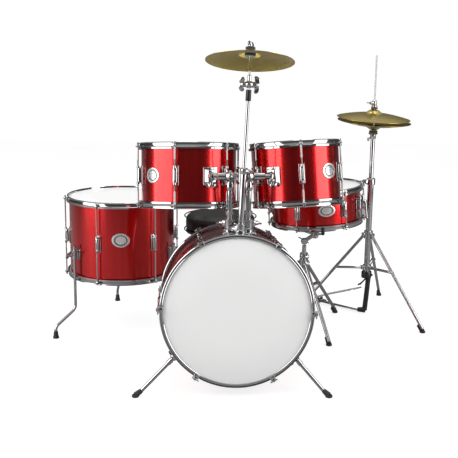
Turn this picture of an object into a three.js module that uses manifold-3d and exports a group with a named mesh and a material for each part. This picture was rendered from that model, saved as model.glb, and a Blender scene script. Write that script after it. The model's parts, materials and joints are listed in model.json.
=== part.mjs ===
// Junior acoustic drum kit: bass drum with two mounted toms and a crash cymbal, floor tom,
// snare drum on its stand, hi-hat stand, kick pedal and throne.
// Millimetres, +Z up, +Y towards the player, +X to the right of someone facing the bass drum.
import * as THREE from 'three';
import { mergeVertices } from 'three/addons/utils/BufferGeometryUtils.js';
import Module from 'manifold-3d';

const wasm = await Module();
wasm.setup();

// ---------------------------------------------------------------- driving dimensions
const FIT = 0.35; // gap left between pieces that touch or slide
const ROOT = 4; // how far a bracket runs into the wall that carries it
const DRUM_SIDES = 24;
const ROD_SIDES = 6;

const SHELL_WALL = 6;
const HEAD_THICKNESS = 1.6;
const HOOP = { seat: 3, wall: 3, above: 7, below: 11 }; // flanged steel hoop round the head
const LUG = { length: 48, width: 15, stand: 17 }; // tension lug on the shell
const TENSION_ROD = { radius: 2.6, offset: 13, ear: 9, sides: 4 }; // rod axis outside the shell face

const BASS = {
  radius: 203, depth: 280, lean: 5, lugAngles: [2, 62, 122, 182, 242, 302],
  hoop: { seat: 3, wall: 7, above: 6, below: 15 },
};
const SPUR = { radius: 5.5, footRadius: 10, back: 105, pivotOut: 15, bracketRadius: 12 };
const SPUR_SIDES = {
  left: { angle: 142, foot: [-278, -9] },
  right: { angle: 40, foot: [255, -26] },
};

// Heights of everything on the bass drum's mount are measured from the mount's underside.
const MOUNT = { y: 80, lift: 6, height: 40, wall: 5, plate: 8, plateSize: [92, 52], plateForward: 9 };
const POST = { radius: 8, bottom: -40, top: 120 };
const RATCHET = { radius: 14.5, thickness: 11, height: 158 };
const TOM_PLATE = { width: 34, height: 50, stand: 12, level: -2, clampReach: 15 };
const TOM_ARM = 8;
const TOMS = {
  left: {
    post: -20, side: -1, bracket: [-74.7, 100.7, 154.9], lean: 8, roll: 0,
    radius: 136, depth: 170, lugAngles: [-166, -106, -46, 14, 74, 134], plateAngle: -66,
  },
  right: {
    post: 31, side: 1, bracket: [101.9, 102.4, 156.5], lean: 8.5, roll: -3.5,
    radius: 124, depth: 170, lugAngles: [-151, -91, -31, 29, 89, 149], plateAngle: -128,
  },
};

const CRASH = {
  x: 8, y: 58, bottom: 6, tubeTop: 185, tilter: 406, lean: 2.45, cymbalTilt: 14, cymbalRadius: 119,
  tubeRadius: 8.5, rodRadius: 4.5, rodBottom: 105, sleeve: 40, sleeveRadius: 7, stem: 90, stemRadius: 3,
};
const CYMBAL = { radius: 127, bellRadius: 34, bellHeight: 13, bow: 16, thickness: 1.8, hole: 5.5 };

const FLOOR_TOM = {
  x: -350, y: 652, bottom: 188, depth: 259, radius: 176,
  lugAngles: [-172, -112, -52, 8, 68, 128], legAngles: [-142, -22, 98],
};
const FLOOR_LEG = {
  radius: 4.8, offset: 14, top: 300, bend: 87, footTop: 38, spread: 91, footRadius: 10,
};
const FLOOR_BRACKET = { z: 272, height: 30, width: 24, outside: 10 };

const SNARE = {
  x: 306, y: 597, z: 432, roll: -4, radius: 148, depth: 117, lugAngles: [-183, -123, -63, -3, 57, 117],
  strainerAngle: -33,
};
const SNARE_STAND = {
  x: 270, y: 596, underDrum: 71.5, collarDrop: 36, tubeDrop: 40, lowerBottom: 120, upperBottom: 175,
  braceZ: 135, reach: 211, legAngles: [46.5, -73.5, 166.5], legRadius: 6, tubeRadius: 10, upperRadius: 7.5,
  tilterEye: 12, hubRise: 23, armRadius: 3.6, armTurn: 31,
};

const HIHAT = {
  x: 521, y: 731, tubeBottom: 150, tubeTop: 500, tubeRadius: 10.5, upperRadius: 7.5, upperBottom: 340,
  pullRadius: 2.8, pullBottom: 420, cupZ: 655, cupRadius: 16, cupHeight: 14, rodTop: 926, clutch: 34,
  collarZ: 297, braceZ: 176, reach: 264, legAngles: [-54.6, 65.4, 185.4], legRadius: 5.5,
  rimGap: 9.5, tiltForward: 3.5, tiltRight: 2.2, tiltRoom: 0.7,
};
const HIHAT_PEDAL = {
  heel: [373, 895], toe: [500, 741], heelZ: 16, toeZ: 92, width: 62, board: 5, column: 9, columnFoot: [3, 17],
  shoeEnd: [-22, 20], shoeRadius: 11, wire: 2.4,
};

const KICK = {
  gap: 30, axleBack: 33, length: 220, width: 90, plate: 6, axleZ: 110, axleRadius: 4,
  toeZ: 78, boardWidth: 56, board: 5, shaft: 115, beaterBack: 32, beaterRadius: 24, beaterHalf: 22,
};

const THRONE = {
  x: -4, y: 847, seatRadius: 134, seatTop: 352, seatThickness: 70, reach: 190, legAngles: [90, 210, 330],
  legRadius: 7, tubeRadius: 13, tubeBottom: 90, tubeTop: 230, postRadius: 9.5, postBottom: 150,
  collarZ: 205, braceZ: 110,
};

// ---------------------------------------------------------------- finishes
const finish = (color, roughness, metalness) =>
  new THREE.MeshStandardMaterial({ color, roughness, metalness });
const WRAP = finish(0xc4121c, 0.18, 0.1);
const CHROME = finish(0xc9ccd0, 0.15, 1);
const HEAD_FILM = finish(0xf2f2f0, 0.5, 0);
const BRONZE = finish(0xb8912f, 0.3, 1);
const BLACK_CAST = finish(0x1a1a1c, 0.45, 0.4);
const VINYL = finish(0x161618, 0.5, 0);

// ---------------------------------------------------------------- geometry helpers
const DEG = Math.PI / 180;
const UP = new THREE.Vector3(0, 0, 1);
const vec = (x, y, z) => new THREE.Vector3(x, y, z);
const polar = (r, angle, z = 0) => vec(r * Math.cos(angle * DEG), r * Math.sin(angle * DEG), z);

function solid(geometry) {
  geometry.deleteAttribute('normal');
  geometry.deleteAttribute('uv');
  const merged = mergeVertices(geometry, 1e-3);
  const index = merged.index.array;
  const triangles = [];
  for (let i = 0; i < index.length; i += 3) {
    const [a, b, c] = [index[i], index[i + 1], index[i + 2]];
    if (a !== b && b !== c && c !== a) triangles.push(a, b, c);
  }
  return new wasm.Manifold(new wasm.Mesh({
    numProp: 3,
    vertProperties: new Float32Array(merged.attributes.position.array),
    triVerts: new Uint32Array(triangles),
  }));
}

const join = (...bodies) => bodies.flat().reduce((sum, body) => sum.add(body));
const cut = (body, ...tools) => tools.flat().reduce((left, tool) => left.subtract(tool), body);

function node(name, body, material) {
  const mesh = body.getMesh();
  const geometry = new THREE.BufferGeometry();
  geometry.setAttribute('position', new THREE.BufferAttribute(mesh.vertProperties, 3));
  geometry.setIndex(new THREE.BufferAttribute(mesh.triVerts, 1));
  geometry.computeVertexNormals();
  const result = new THREE.Mesh(geometry, material);
  result.name = name;
  return result;
}

// A solid turned about Z from an anticlockwise [radius, height] outline.
function revolve(outline, sides = DRUM_SIDES) {
  const onAxis = outline[0][0] === 0;
  const points = (onAxis ? outline : [...outline, outline[0]]).map(([r, z]) => new THREE.Vector2(r, z));
  const geometry = new THREE.LatheGeometry(points, sides);
  geometry.rotateX(Math.PI / 2);
  return solid(geometry);
}

const ring = (inner, outer, low, high, sides) =>
  revolve([[inner, low], [outer, low], [outer, high], [inner, high]], sides);

// A straight round bar between two points, tapered when two radii are given.
function rod(from, to, radius, endRadius = radius, sides = ROD_SIDES) {
  const axis = to.clone().sub(from);
  const geometry = new THREE.CylinderGeometry(endRadius, radius, axis.length(), sides);
  const turn = new THREE.Quaternion().setFromUnitVectors(vec(0, 1, 0), axis.clone().normalize());
  geometry.applyQuaternion(turn);
  geometry.translate(...from.clone().add(to).multiplyScalar(0.5).toArray());
  return solid(geometry);
}

// Straight bars joined end to end through the given points, with a ball at each bend.
function path(points, radius, sides = ROD_SIDES) {
  const bars = points.slice(1).map((point, i) => rod(points[i], point, radius, radius, sides));
  const bends = points.slice(1, -1).map((point) => ball(point, radius * 1.02));
  return join(bars, bends);
}

function ball(centre, radius) {
  const geometry = new THREE.SphereGeometry(radius, ROD_SIDES, 4);
  geometry.translate(...centre.toArray());
  return solid(geometry);
}

// A block at a point, turned about Z.
function block(centre, size, turn = 0) {
  const geometry = new THREE.BoxGeometry(...size);
  geometry.rotateZ(turn * DEG);
  geometry.translate(...centre.toArray());
  return solid(geometry);
}

function group(position, ...children) {
  const result = new THREE.Group();
  result.position.copy(position);
  children.forEach((child) => result.add(child));
  return result;
}

// ---------------------------------------------------------------- drums
// A drum lies about its own centre with its axis along Z and the batter head at the top.
function shellSolid({ radius, depth, lugAngles }) {
  const edge = depth / 2;
  const wall = ring(radius - SHELL_WALL, radius, -edge, edge);
  const lugs = lugAngles.map((angle) =>
    block(polar(radius + (LUG.stand - ROOT) / 2, angle), [LUG.stand + ROOT, LUG.width, LUG.length], angle));
  return join(wall, lugs);
}

function headSolid({ radius, depth, hoop = HOOP }, end) {
  const low = depth / 2 + FIT;
  const high = low + HEAD_THICKNESS;
  const rim = radius + hoop.seat - FIT;
  return end > 0
    ? revolve([[0, low], [rim, low], [rim, high], [0, high]])
    : revolve([[0, -high], [rim, -high], [rim, -low], [0, -low]]);
}

// A hoop with its ears and tension rods, which stop just short of the lugs.
function hoopSolid({ radius, depth, lugAngles, hoop = HOOP }, end) {
  const edge = end * (depth / 2);
  const levels = [edge + end * hoop.above, edge - end * hoop.below].sort((a, b) => a - b);
  const inner = radius + hoop.seat;
  const band = ring(inner, inner + hoop.wall, ...levels);
  const rods = lugAngles.map((angle) => {
    const axis = radius + TENSION_ROD.offset;
    const earLevel = edge + end * (hoop.above - 4);
    const earFrom = inner + 1;
    const earTo = axis + TENSION_ROD.ear / 2;
    const ear = block(polar((earFrom + earTo) / 2, angle, earLevel),
      [earTo - earFrom, TENSION_ROD.ear, 6], angle);
    const lugEnd = end * (LUG.length / 2 + FIT);
    const headEnd = edge + end * (hoop.above + 3);
    return [ear, rod(polar(axis, angle, headEnd), polar(axis, angle, lugEnd),
      TENSION_ROD.radius, TENSION_ROD.radius, TENSION_ROD.sides)];
  });
  return join(band, rods.flat());
}

function drumNodes(name, spec, shell = shellSolid(spec)) {
  return [
    node(`${name}_shell`, shell, WRAP),
    node(`${name}_batter_head`, headSolid(spec, 1), HEAD_FILM),
    node(`${name}_resonant_head`, headSolid(spec, -1), HEAD_FILM),
    node(`${name}_batter_hoop`, hoopSolid(spec, 1), CHROME),
    node(`${name}_resonant_hoop`, hoopSolid(spec, -1), CHROME),
  ];
}

// ---------------------------------------------------------------- bass drum, spurs and mount
const bassHalf = BASS.depth / 2 + BASS.hoop.above;
const bassRim = BASS.radius + BASS.hoop.seat + BASS.hoop.wall;
const bassCentre = vec(0, bassHalf * Math.cos(BASS.lean * DEG),
  bassRim * Math.cos(BASS.lean * DEG) + bassHalf * Math.sin(BASS.lean * DEG));
const bassTurn = -(90 + BASS.lean) * DEG; // stands the drum's axis up to point at the player

// Height of the top of the bass shell at a distance y along the kit.
const shellTop = (y) =>
  bassCentre.z - (y - bassCentre.y) * Math.tan(BASS.lean * DEG) + BASS.radius / Math.cos(BASS.lean * DEG);

const mountBase = shellTop(MOUNT.y) + MOUNT.lift;

// Where the outer face of the batter hoop stands at a height.
const batterFace = (z) =>
  bassCentre.y + (bassHalf + (z - bassCentre.z) * Math.sin(BASS.lean * DEG)) / Math.cos(BASS.lean * DEG);

function bassDrum() {
  const assembly = group(bassCentre);
  assembly.rotation.x = bassTurn;
  assembly.updateMatrixWorld();
  const toLocal = (point) => assembly.worldToLocal(point.clone());
  const brackets = Object.values(SPUR_SIDES).map(({ angle }) =>
    rod(polar(BASS.radius - 3, angle, -SPUR.back), polar(BASS.radius + SPUR.pivotOut - 10, angle, -SPUR.back),
      SPUR.bracketRadius));
  const holes = Object.values(TOMS).map(({ post }) =>
    rod(toLocal(vec(post, MOUNT.y, mountBase + POST.top)),
      toLocal(vec(post, MOUNT.y, mountBase + 2.5 * POST.bottom)), POST.radius + 1.5));
  assembly.add(...drumNodes('bass', BASS, cut(join(shellSolid(BASS), brackets), holes)));
  return assembly;
}

function spur(side) {
  const { angle, foot } = SPUR_SIDES[side];
  const frame = group(bassCentre);
  frame.rotation.x = bassTurn;
  frame.updateMatrixWorld();
  const pivot = frame.localToWorld(polar(BASS.radius + SPUR.pivotOut, angle, -SPUR.back));
  const tip = vec(...foot, 0).sub(pivot);
  const leg = rod(vec(0, 0, 0), tip.clone().add(vec(0, 0, 8)), SPUR.radius);
  const rubber = rod(tip, tip.clone().add(vec(0, 0, 15)), SPUR.footRadius, SPUR.radius + 2, 8);
  const assembly = group(pivot, node(`${side}_spur`, join(ball(vec(0, 0, 0), 9), leg, rubber), CHROME));
  assembly.name = `${side}_spur_pivot`;
  return assembly;
}

function tomMount() {
  const sockets = Object.values(TOMS).map(({ post }) => ({ x: post, y: MOUNT.y, bore: POST.radius }));
  sockets.push({ x: CRASH.x, y: CRASH.y, bore: CRASH.tubeRadius });
  const upright = (x, y, low, high, radius) => rod(vec(x, y, low), vec(x, y, high), radius);
  const top = mountBase + MOUNT.height;
  const collars = sockets.map(({ x, y, bore }) => upright(x, y, mountBase, top, bore + MOUNT.wall));
  const through = [mountBase - MOUNT.plate, top + MOUNT.plate];
  const bores = sockets.map(({ x, y, bore }) => upright(x, y, ...through, bore + FIT));
  const middle = (TOMS.left.post + TOMS.right.post) / 2;
  const plate = block(vec(middle, MOUNT.y - MOUNT.plateForward, mountBase + MOUNT.plate / 2),
    [...MOUNT.plateSize, MOUNT.plate]);
  return node('tom_mount_block', join(cut(join(plate, collars), bores), crashTube()), CHROME);
}

const crashFoot = vec(CRASH.x, CRASH.y, mountBase + CRASH.bottom);
const crashAxis = UP.clone().applyAxisAngle(vec(0, 1, 0), CRASH.lean * DEG);

// The fixed lower tube of the crash stand, which the block's third socket grips.
function crashTube() {
  const along = (height) => crashFoot.clone().addScaledVector(crashAxis, height);
  const height = CRASH.tubeTop - CRASH.bottom;
  const grip = rod(along(MOUNT.height * 0.3), along(MOUNT.height * 0.8), CRASH.tubeRadius + 2);
  const tube = join(rod(along(0), along(height), CRASH.tubeRadius), grip);
  return cut(tube, rod(along(12), along(height + 5), CRASH.rodRadius + 2 * FIT));
}

function mountedTom(side) {
  const spec = TOMS[side];
  const out = spec.side;
  const hub = vec(spec.post, MOUNT.y, mountBase + RATCHET.height);

  const post = node(`${side}_tom_post`,
    rod(vec(0, 0, POST.bottom), vec(0, 0, POST.top), POST.radius), CHROME);
  const postGroup = group(vec(spec.post, MOUNT.y, mountBase), post);
  postGroup.name = `${side}_tom_post_slide`;

  const disc = (from, to, radius) => rod(vec(out * from, 0, 0), vec(out * to, 0, 0), radius, radius, 12);
  const neck = rod(vec(0, 0, POST.top + FIT - RATCHET.height), vec(0, 0, -4), POST.radius + 2);
  const keyway = disc(FIT, RATCHET.thickness + POST.radius + 2, RATCHET.radius + 3);
  const cheek = disc(0, -RATCHET.thickness, RATCHET.radius);
  const swivel = group(hub, node(`${side}_tom_ratchet`, cut(join(cheek, neck), keyway), CHROME));
  swivel.name = `${side}_tom_swivel`;

  const drumGroup = group(vec(0, 0, 0));
  drumGroup.rotation.set(-spec.lean * DEG, spec.roll * DEG, 0);
  drumGroup.position.copy(tomCentre(spec, drumGroup.quaternion)).sub(hub);
  drumGroup.updateMatrix();
  const face = spec.radius + TOM_PLATE.stand;
  const plate = block(polar(face - TOM_PLATE.stand / 2 + 2, spec.plateAngle, TOM_PLATE.level),
    [TOM_PLATE.stand + 6, TOM_PLATE.width, TOM_PLATE.height], spec.plateAngle);
  drumGroup.add(...drumNodes(`${side}_tom`, spec, join(shellSolid(spec), plate)));

  const armEnd = polar(face + TOM_PLATE.clampReach, spec.plateAngle, TOM_PLATE.level)
    .applyMatrix4(drumGroup.matrix);
  const arm = join(disc(2 * FIT, RATCHET.thickness + 1, RATCHET.radius),
    rod(vec(out * TOM_ARM, 0, 0), armEnd, TOM_ARM));
  const tilt = group(hub, drumGroup, node(`${side}_tom_arm`, arm, CHROME));
  tilt.name = `${side}_tom_tilt`;
  return [postGroup, swivel, tilt];
}

// A tom hangs from its bracket, so a wider shell grows away from the posts.
function tomCentre({ bracket, radius, plateAngle }, turn) {
  const outwards = polar(radius, plateAngle, TOM_PLATE.level).applyQuaternion(turn);
  return vec(bracket[0], bracket[1], mountBase + bracket[2]).sub(outwards);
}

// ---------------------------------------------------------------- cymbals
function cymbalSolid(radius, flip = 1) {
  const { bellRadius, bellHeight, bow, thickness, hole } = CYMBAL;
  const shoulder = (radius + bellRadius) / 2;
  const under = [
    [hole, 0],
    [bellRadius * 0.55, -bellHeight * 0.25],
    [bellRadius, -bellHeight],
    [shoulder, -bellHeight - bow * 0.36],
    [radius, -bellHeight - bow],
  ];
  const over = under.map(([r, z]) => [r, z + thickness]).reverse();
  const outline = [...under, ...over];
  return revolve(flip > 0 ? outline : outline.map(([r, z]) => [r, -z]).reverse());
}

function crashStand() {
  const { rodRadius, stem, stemRadius } = CRASH;
  const assembly = group(crashFoot);
  assembly.rotation.y = CRASH.lean * DEG;
  const rise = CRASH.tilter - CRASH.bottom;
  const eye = 10;
  const rodTop = rise - eye - 2;
  const upper = join(
    rod(vec(0, 0, CRASH.rodBottom - CRASH.bottom), vec(0, 0, rodTop), rodRadius),
    rod(vec(0, 0, rise - CRASH.sleeve), vec(0, 0, rodTop), CRASH.sleeveRadius));
  const slide = group(vec(0, 0, 0), node('crash_rod', upper, CHROME));
  slide.name = 'crash_rod_slide';
  const tilter = join(
    rod(vec(-9, 0, 0), vec(9, 0, 0), eye),
    rod(vec(0, 0, 0), vec(0, 0, stem + 26), stemRadius),
    rod(vec(0, 0, stem - 16), vec(0, 0, stem - 2), eye));
  const tilt = group(vec(0, 0, rise), node('crash_tilter', tilter, CHROME));
  tilt.name = 'crash_tilt';
  tilt.rotation.x = -CRASH.cymbalTilt * DEG;
  const cymbal = group(vec(0, 0, stem), node('crash_cymbal', cymbalSolid(CRASH.cymbalRadius), BRONZE));
  cymbal.name = 'crash_spin';
  tilt.add(cymbal);
  assembly.add(slide, tilt);
  return assembly;
}

// ---------------------------------------------------------------- floor tom
function floorTom() {
  const centre = vec(FLOOR_TOM.x, FLOOR_TOM.y, FLOOR_TOM.bottom + FLOOR_TOM.depth / 2);
  const axis = FLOOR_TOM.radius + FLOOR_LEG.offset;
  const reach = FLOOR_TOM.radius + FLOOR_LEG.spread;
  const level = FLOOR_BRACKET.z - centre.z;
  const brackets = FLOOR_TOM.legAngles.map((angle) => {
    const size = [FLOOR_LEG.offset + FLOOR_BRACKET.outside + ROOT, FLOOR_BRACKET.width, FLOOR_BRACKET.height];
    const middle = FLOOR_TOM.radius - ROOT + size[0] / 2;
    const boss = block(polar(middle, angle, level), size, angle);
    const reachUp = FLOOR_BRACKET.height;
    const bore = rod(polar(axis, angle, level - reachUp), polar(axis, angle, level + reachUp),
      FLOOR_LEG.radius + 2 * FIT);
    return { boss, bore };
  });
  const shell = cut(join(shellSolid(FLOOR_TOM), brackets.map((b) => b.boss)), brackets.map((b) => b.bore));
  const assembly = group(centre, ...drumNodes('floor_tom', FLOOR_TOM, shell));
  FLOOR_TOM.legAngles.forEach((angle, i) => {
    const leg = path([
      polar(axis, angle, FLOOR_LEG.top), polar(axis, angle, FLOOR_LEG.bend),
      polar(reach, angle, FLOOR_LEG.footTop), polar(reach, angle, 10),
    ], FLOOR_LEG.radius);
    const foot = rod(polar(reach, angle, 0), polar(reach, angle, 22),
      FLOOR_LEG.footRadius, FLOOR_LEG.radius + 2);
    const slide = group(vec(0, 0, -centre.z), node(`floor_tom_leg_${i + 1}`, join(leg, foot), CHROME));
    slide.name = `floor_tom_leg_${i + 1}_slide`;
    assembly.add(slide);
  });
  return assembly;
}

// ---------------------------------------------------------------- stands
// Three splayed legs round a collar, each with a level brace back to a lower hub.
function tripodSolid({ bore, collarZ, braceZ, reach, legAngles, legRadius }) {
  const outer = bore + 5;
  const foot = { radius: 10, height: 18, kneeZ: 12 };
  const collar = ring(bore, outer, collarZ - 14, collarZ + 14, 12);
  const hub = ring(bore, outer, braceZ - 9, braceZ + 9, 12);
  const legs = legAngles.map((angle) => {
    const start = polar(outer - 1, angle, collarZ);
    const ankle = polar(reach, angle, foot.kneeZ);
    const middle = start.clone().lerp(ankle, (collarZ - braceZ - 4) / (collarZ - foot.kneeZ));
    return join(
      rod(start, ankle, legRadius),
      rod(polar(outer - 1, angle, braceZ), middle, legRadius - 1.5),
      rod(polar(reach, angle, 0), polar(reach, angle, foot.height), foot.radius, legRadius + 1, 8));
  });
  return join(collar, hub, legs);
}

const snareTilterZ = SNARE.z - SNARE.depth / 2 - SNARE_STAND.underDrum;

function snareStand() {
  const { x, y, tubeRadius, upperRadius, lowerBottom } = SNARE_STAND;
  const tubeTop = snareTilterZ - SNARE_STAND.tubeDrop;
  const lower = cut(
    join(rod(vec(0, 0, lowerBottom), vec(0, 0, tubeTop), tubeRadius),
      rod(vec(0, 0, tubeTop - 18), vec(0, 0, tubeTop), tubeRadius + 5)),
    rod(vec(0, 0, lowerBottom + 10), vec(0, 0, tubeTop + 5), upperRadius + 2 * FIT));
  const legs = tripodSolid({
    ...SNARE_STAND, bore: tubeRadius + FIT, collarZ: tubeTop - SNARE_STAND.collarDrop,
  });
  const upper = rod(vec(0, 0, SNARE_STAND.upperBottom), vec(0, 0, snareTilterZ - 14), upperRadius);
  const slide = group(vec(0, 0, 0), node('snare_stand_upper_tube', upper, CHROME));
  slide.name = 'snare_height';
  return group(vec(x, y, 0), node('snare_stand_lower_tube', lower, CHROME),
    node('snare_stand_tripod', legs, CHROME), slide);
}

function snareDrum() {
  const pivot = vec(SNARE_STAND.x, SNARE_STAND.y, snareTilterZ);
  const spec = SNARE;
  const drumGroup = group(vec(spec.x, spec.y, spec.z).sub(pivot));
  drumGroup.rotation.y = spec.roll * DEG;
  drumGroup.updateMatrix();
  const strainerFace = spec.radius + 7;
  const strainer = block(polar(strainerFace, spec.strainerAngle, -8), [18, 30, 70], spec.strainerAngle);
  drumGroup.add(...drumNodes('snare', spec, join(shellSolid(spec), strainer)));

  const leverAt = polar(strainerFace + 18, spec.strainerAngle, 14);
  const reachOut = (r, z) => polar(r, spec.strainerAngle, z);
  const lever = join(rod(reachOut(-4, 0), reachOut(6, 0), 7), rod(reachOut(3, 0), reachOut(6, -52), 4));
  const leverGroup = group(leverAt, node('snare_strainer_lever', lever, CHROME));
  leverGroup.name = 'snare_lever';
  drumGroup.add(leverGroup);

  const { tilterEye, armRadius } = SNARE_STAND;
  const rim = spec.radius + HOOP.seat + HOOP.wall;
  const rimLow = -spec.depth / 2 - HOOP.above;
  const hub = vec(spec.x - pivot.x, spec.y - pivot.y, SNARE_STAND.hubRise);
  const armAngles = spec.lugAngles.filter((_, i) => i % 2).map((angle) => angle + SNARE_STAND.armTurn);
  const arms = armAngles.map((angle) => {
    const place = (r, z) => polar(r, angle, z).applyMatrix4(drumGroup.matrix);
    return path([hub, place(rim - 20, rimLow - 10), place(rim + 6, rimLow - 5), place(rim + 6, rimLow + 14)],
      armRadius);
  });
  const tilter = join(ball(vec(0, 0, 0), tilterEye), rod(vec(0, 0, 0), hub, 7), ball(hub, tilterEye));
  const tilt = group(pivot, drumGroup, node('snare_basket', join(tilter, arms), CHROME));
  tilt.name = 'snare_tilt';
  return tilt;
}

// ---------------------------------------------------------------- hi-hat
function hihat() {
  const { tubeRadius, upperRadius, pullRadius, tubeBottom, tubeTop, cupZ, cupHeight } = HIHAT;
  const at = vec(HIHAT.x, HIHAT.y, 0);
  const upright = (low, high, radius) => rod(vec(0, 0, low), vec(0, 0, high), radius);

  const tube = join(upright(tubeBottom, tubeTop, tubeRadius), upright(tubeTop - 22, tubeTop, tubeRadius + 5));
  const bore = upright(tubeBottom - 5, tubeTop + 5, upperRadius + 2 * FIT);
  const lower = node('hihat_lower_tube', cut(tube, bore), CHROME);
  const legs = node('hihat_tripod', tripodSolid({ ...HIHAT, bore: tubeRadius + FIT }), CHROME);

  const seat = join(upright(HIHAT.upperBottom, cupZ + cupHeight / 2, upperRadius),
    upright(cupZ, cupZ + cupHeight, HIHAT.cupRadius));
  const upperTube = cut(seat, upright(HIHAT.upperBottom - 10, cupZ + 2 * cupHeight, pullRadius + 2 * FIT));
  const tilted = (z, body, name) => {
    const cymbal = group(vec(0, 0, z), node(name, body, BRONZE));
    cymbal.rotation.set(HIHAT.tiltForward * DEG, HIHAT.tiltRight * DEG, 0);
    return cymbal;
  };
  const bottomZ = cupZ + cupHeight + FIT + CYMBAL.thickness + HIHAT.tiltRoom;
  const upper = group(vec(0, 0, 0), node('hihat_upper_tube', upperTube, CHROME),
    tilted(bottomZ, cymbalSolid(CYMBAL.radius, -1), 'hihat_bottom_cymbal'));
  upper.name = 'hihat_height';

  const topZ = bottomZ + 2 * (CYMBAL.bellHeight + CYMBAL.bow) + HIHAT.rimGap;
  const clutch = upright(topZ + CYMBAL.thickness + FIT + HIHAT.tiltRoom, topZ + HIHAT.clutch, 8);
  const pull = join(upright(HIHAT.pullBottom, HIHAT.rodTop, pullRadius), clutch);
  const pullGroup = group(vec(0, 0, 0), node('hihat_pull_rod', pull, CHROME),
    tilted(topZ, cymbalSolid(CYMBAL.radius), 'hihat_top_cymbal'));
  pullGroup.name = 'hihat_pull';
  return group(at, lower, legs, upper, pullGroup, ...hihatPedal(at));
}

function hihatPedal(at) {
  const { tubeRadius, tubeBottom } = HIHAT;
  const { width, column, columnFoot, shoeEnd, shoeRadius, wire } = HIHAT_PEDAL;
  const heel = vec(...HIHAT_PEDAL.heel, 0).sub(at);
  const toe = vec(...HIHAT_PEDAL.toe, 0).sub(at);
  const along = Math.atan2(heel.y - toe.y, heel.x - toe.x) / DEG;

  const socket = ring(tubeRadius + FIT, tubeRadius + 8, tubeBottom - 12, tubeBottom + 12, 12);
  const upright = rod(vec(tubeRadius, tubeRadius, tubeBottom - 8), vec(...columnFoot, column), column);
  const shoe = rod(vec(...columnFoot, shoeRadius), vec(...shoeEnd, shoeRadius), shoeRadius, 8);
  const wireZ = 6;
  const hoopRod = path([vec(...columnFoot, wireZ), heel.clone().lerp(toe, 0.25).setZ(wireZ),
    heel.clone().setZ(wireZ)], wire);
  const heelPlate = block(heel.clone().setZ(4), [46, width, 8], along);
  const frame = node('hihat_pedal_frame', join(socket, upright, shoe, hoopRod, heelPlate), BLACK_CAST);

  const toeTop = toe.clone().setZ(HIHAT_PEDAL.toeZ);
  const hinge = heel.clone().setZ(HIHAT_PEDAL.heelZ);
  const rise = toeTop.clone().sub(hinge);
  const board = new THREE.BoxGeometry(rise.length() - 12, width, HIHAT_PEDAL.board);
  board.translate(rise.length() / 2 + 6, 0, 4);
  board.rotateY(-Math.asin(rise.z / rise.length()));
  board.rotateZ((along + 180) * DEG);
  const barrel = new THREE.CylinderGeometry(4.5, 4.5, width, ROD_SIDES);
  barrel.rotateZ(along * DEG);
  const tongue = rod(vec(0, 0, 0), rise.clone().multiplyScalar(0.2), 4);
  const pedal = group(hinge, node('hihat_footboard', join(solid(board), solid(barrel), tongue), CHROME));
  pedal.name = 'hihat_pedal';

  const link = join(rod(vec(0, 0, tubeBottom - 16), vec(0, 0, tubeBottom + 130), 3),
    rod(vec(0, 0, tubeBottom - 14), toeTop.clone().add(vec(0, 0, 18)), 3));
  const linkGroup = group(vec(0, 0, 0), node('hihat_drive_link', link, BLACK_CAST));
  linkGroup.name = 'hihat_link';
  return [frame, pedal, linkGroup];
}

// ---------------------------------------------------------------- kick pedal
function kickPedal() {
  const { width, boardWidth, axleZ, axleRadius, beaterRadius, beaterHalf } = KICK;
  const front = batterFace(axleZ) + KICK.gap;
  const heelY = front + KICK.length;
  const axle = vec(0, front + KICK.axleBack, axleZ);
  const postX = width / 2 - 5;
  const across = (half, y, z, radius, sides) => rod(vec(-half, y, z), vec(half, y, z), radius, radius, sides);

  const plate = block(vec(0, (front + heelY) / 2 + 9, KICK.plate / 2), [width, KICK.length + 18, KICK.plate]);
  const posts = [-1, 1].map((s) => block(vec(s * postX, axle.y, axleZ / 2 + 7), [9, 18, axleZ + 12]));
  const ears = [-1, 1].map((s) => block(vec(s * (boardWidth / 2 + 6), heelY, 10), [8, 16, 18]));
  const bore = across(width, axle.y, axleZ, axleRadius + 2 * FIT);
  const base = node('kick_pedal_base', cut(join(plate, posts, ears), bore), CHROME);

  const hinge = vec(0, heelY, 14);
  const toe = vec(0, axle.y + 6, KICK.toeZ).sub(hinge);
  const board = new THREE.BoxGeometry(boardWidth, toe.length() - 8, KICK.board);
  board.translate(0, -toe.length() / 2, 3);
  board.rotateX(-Math.asin(toe.z / toe.length()));
  const barrel = across(boardWidth / 2, 0, 0, 4.5);
  const boardGroup = group(hinge, node('kick_footboard', join(solid(board), barrel), CHROME));
  boardGroup.name = 'kick_footboard_hinge';

  const back = KICK.beaterBack * DEG;
  const head = vec(0, Math.sin(back), Math.cos(back)).multiplyScalar(KICK.shaft);
  const face = vec(0, Math.cos(back), -Math.sin(back)).multiplyScalar(beaterHalf);
  const beater = join(
    across(postX + 4, 0, 0, axleRadius),
    across(9, 0, 0, 11, 12),
    rod(vec(0, 0, 0), head, 3.5),
    rod(head.clone().sub(face), head.clone().add(face), beaterRadius, beaterRadius, 12));
  const beaterGroup = group(axle, node('kick_beater', beater, CHROME));
  beaterGroup.name = 'kick_beater_axle';
  return [base, boardGroup, beaterGroup];
}

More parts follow.
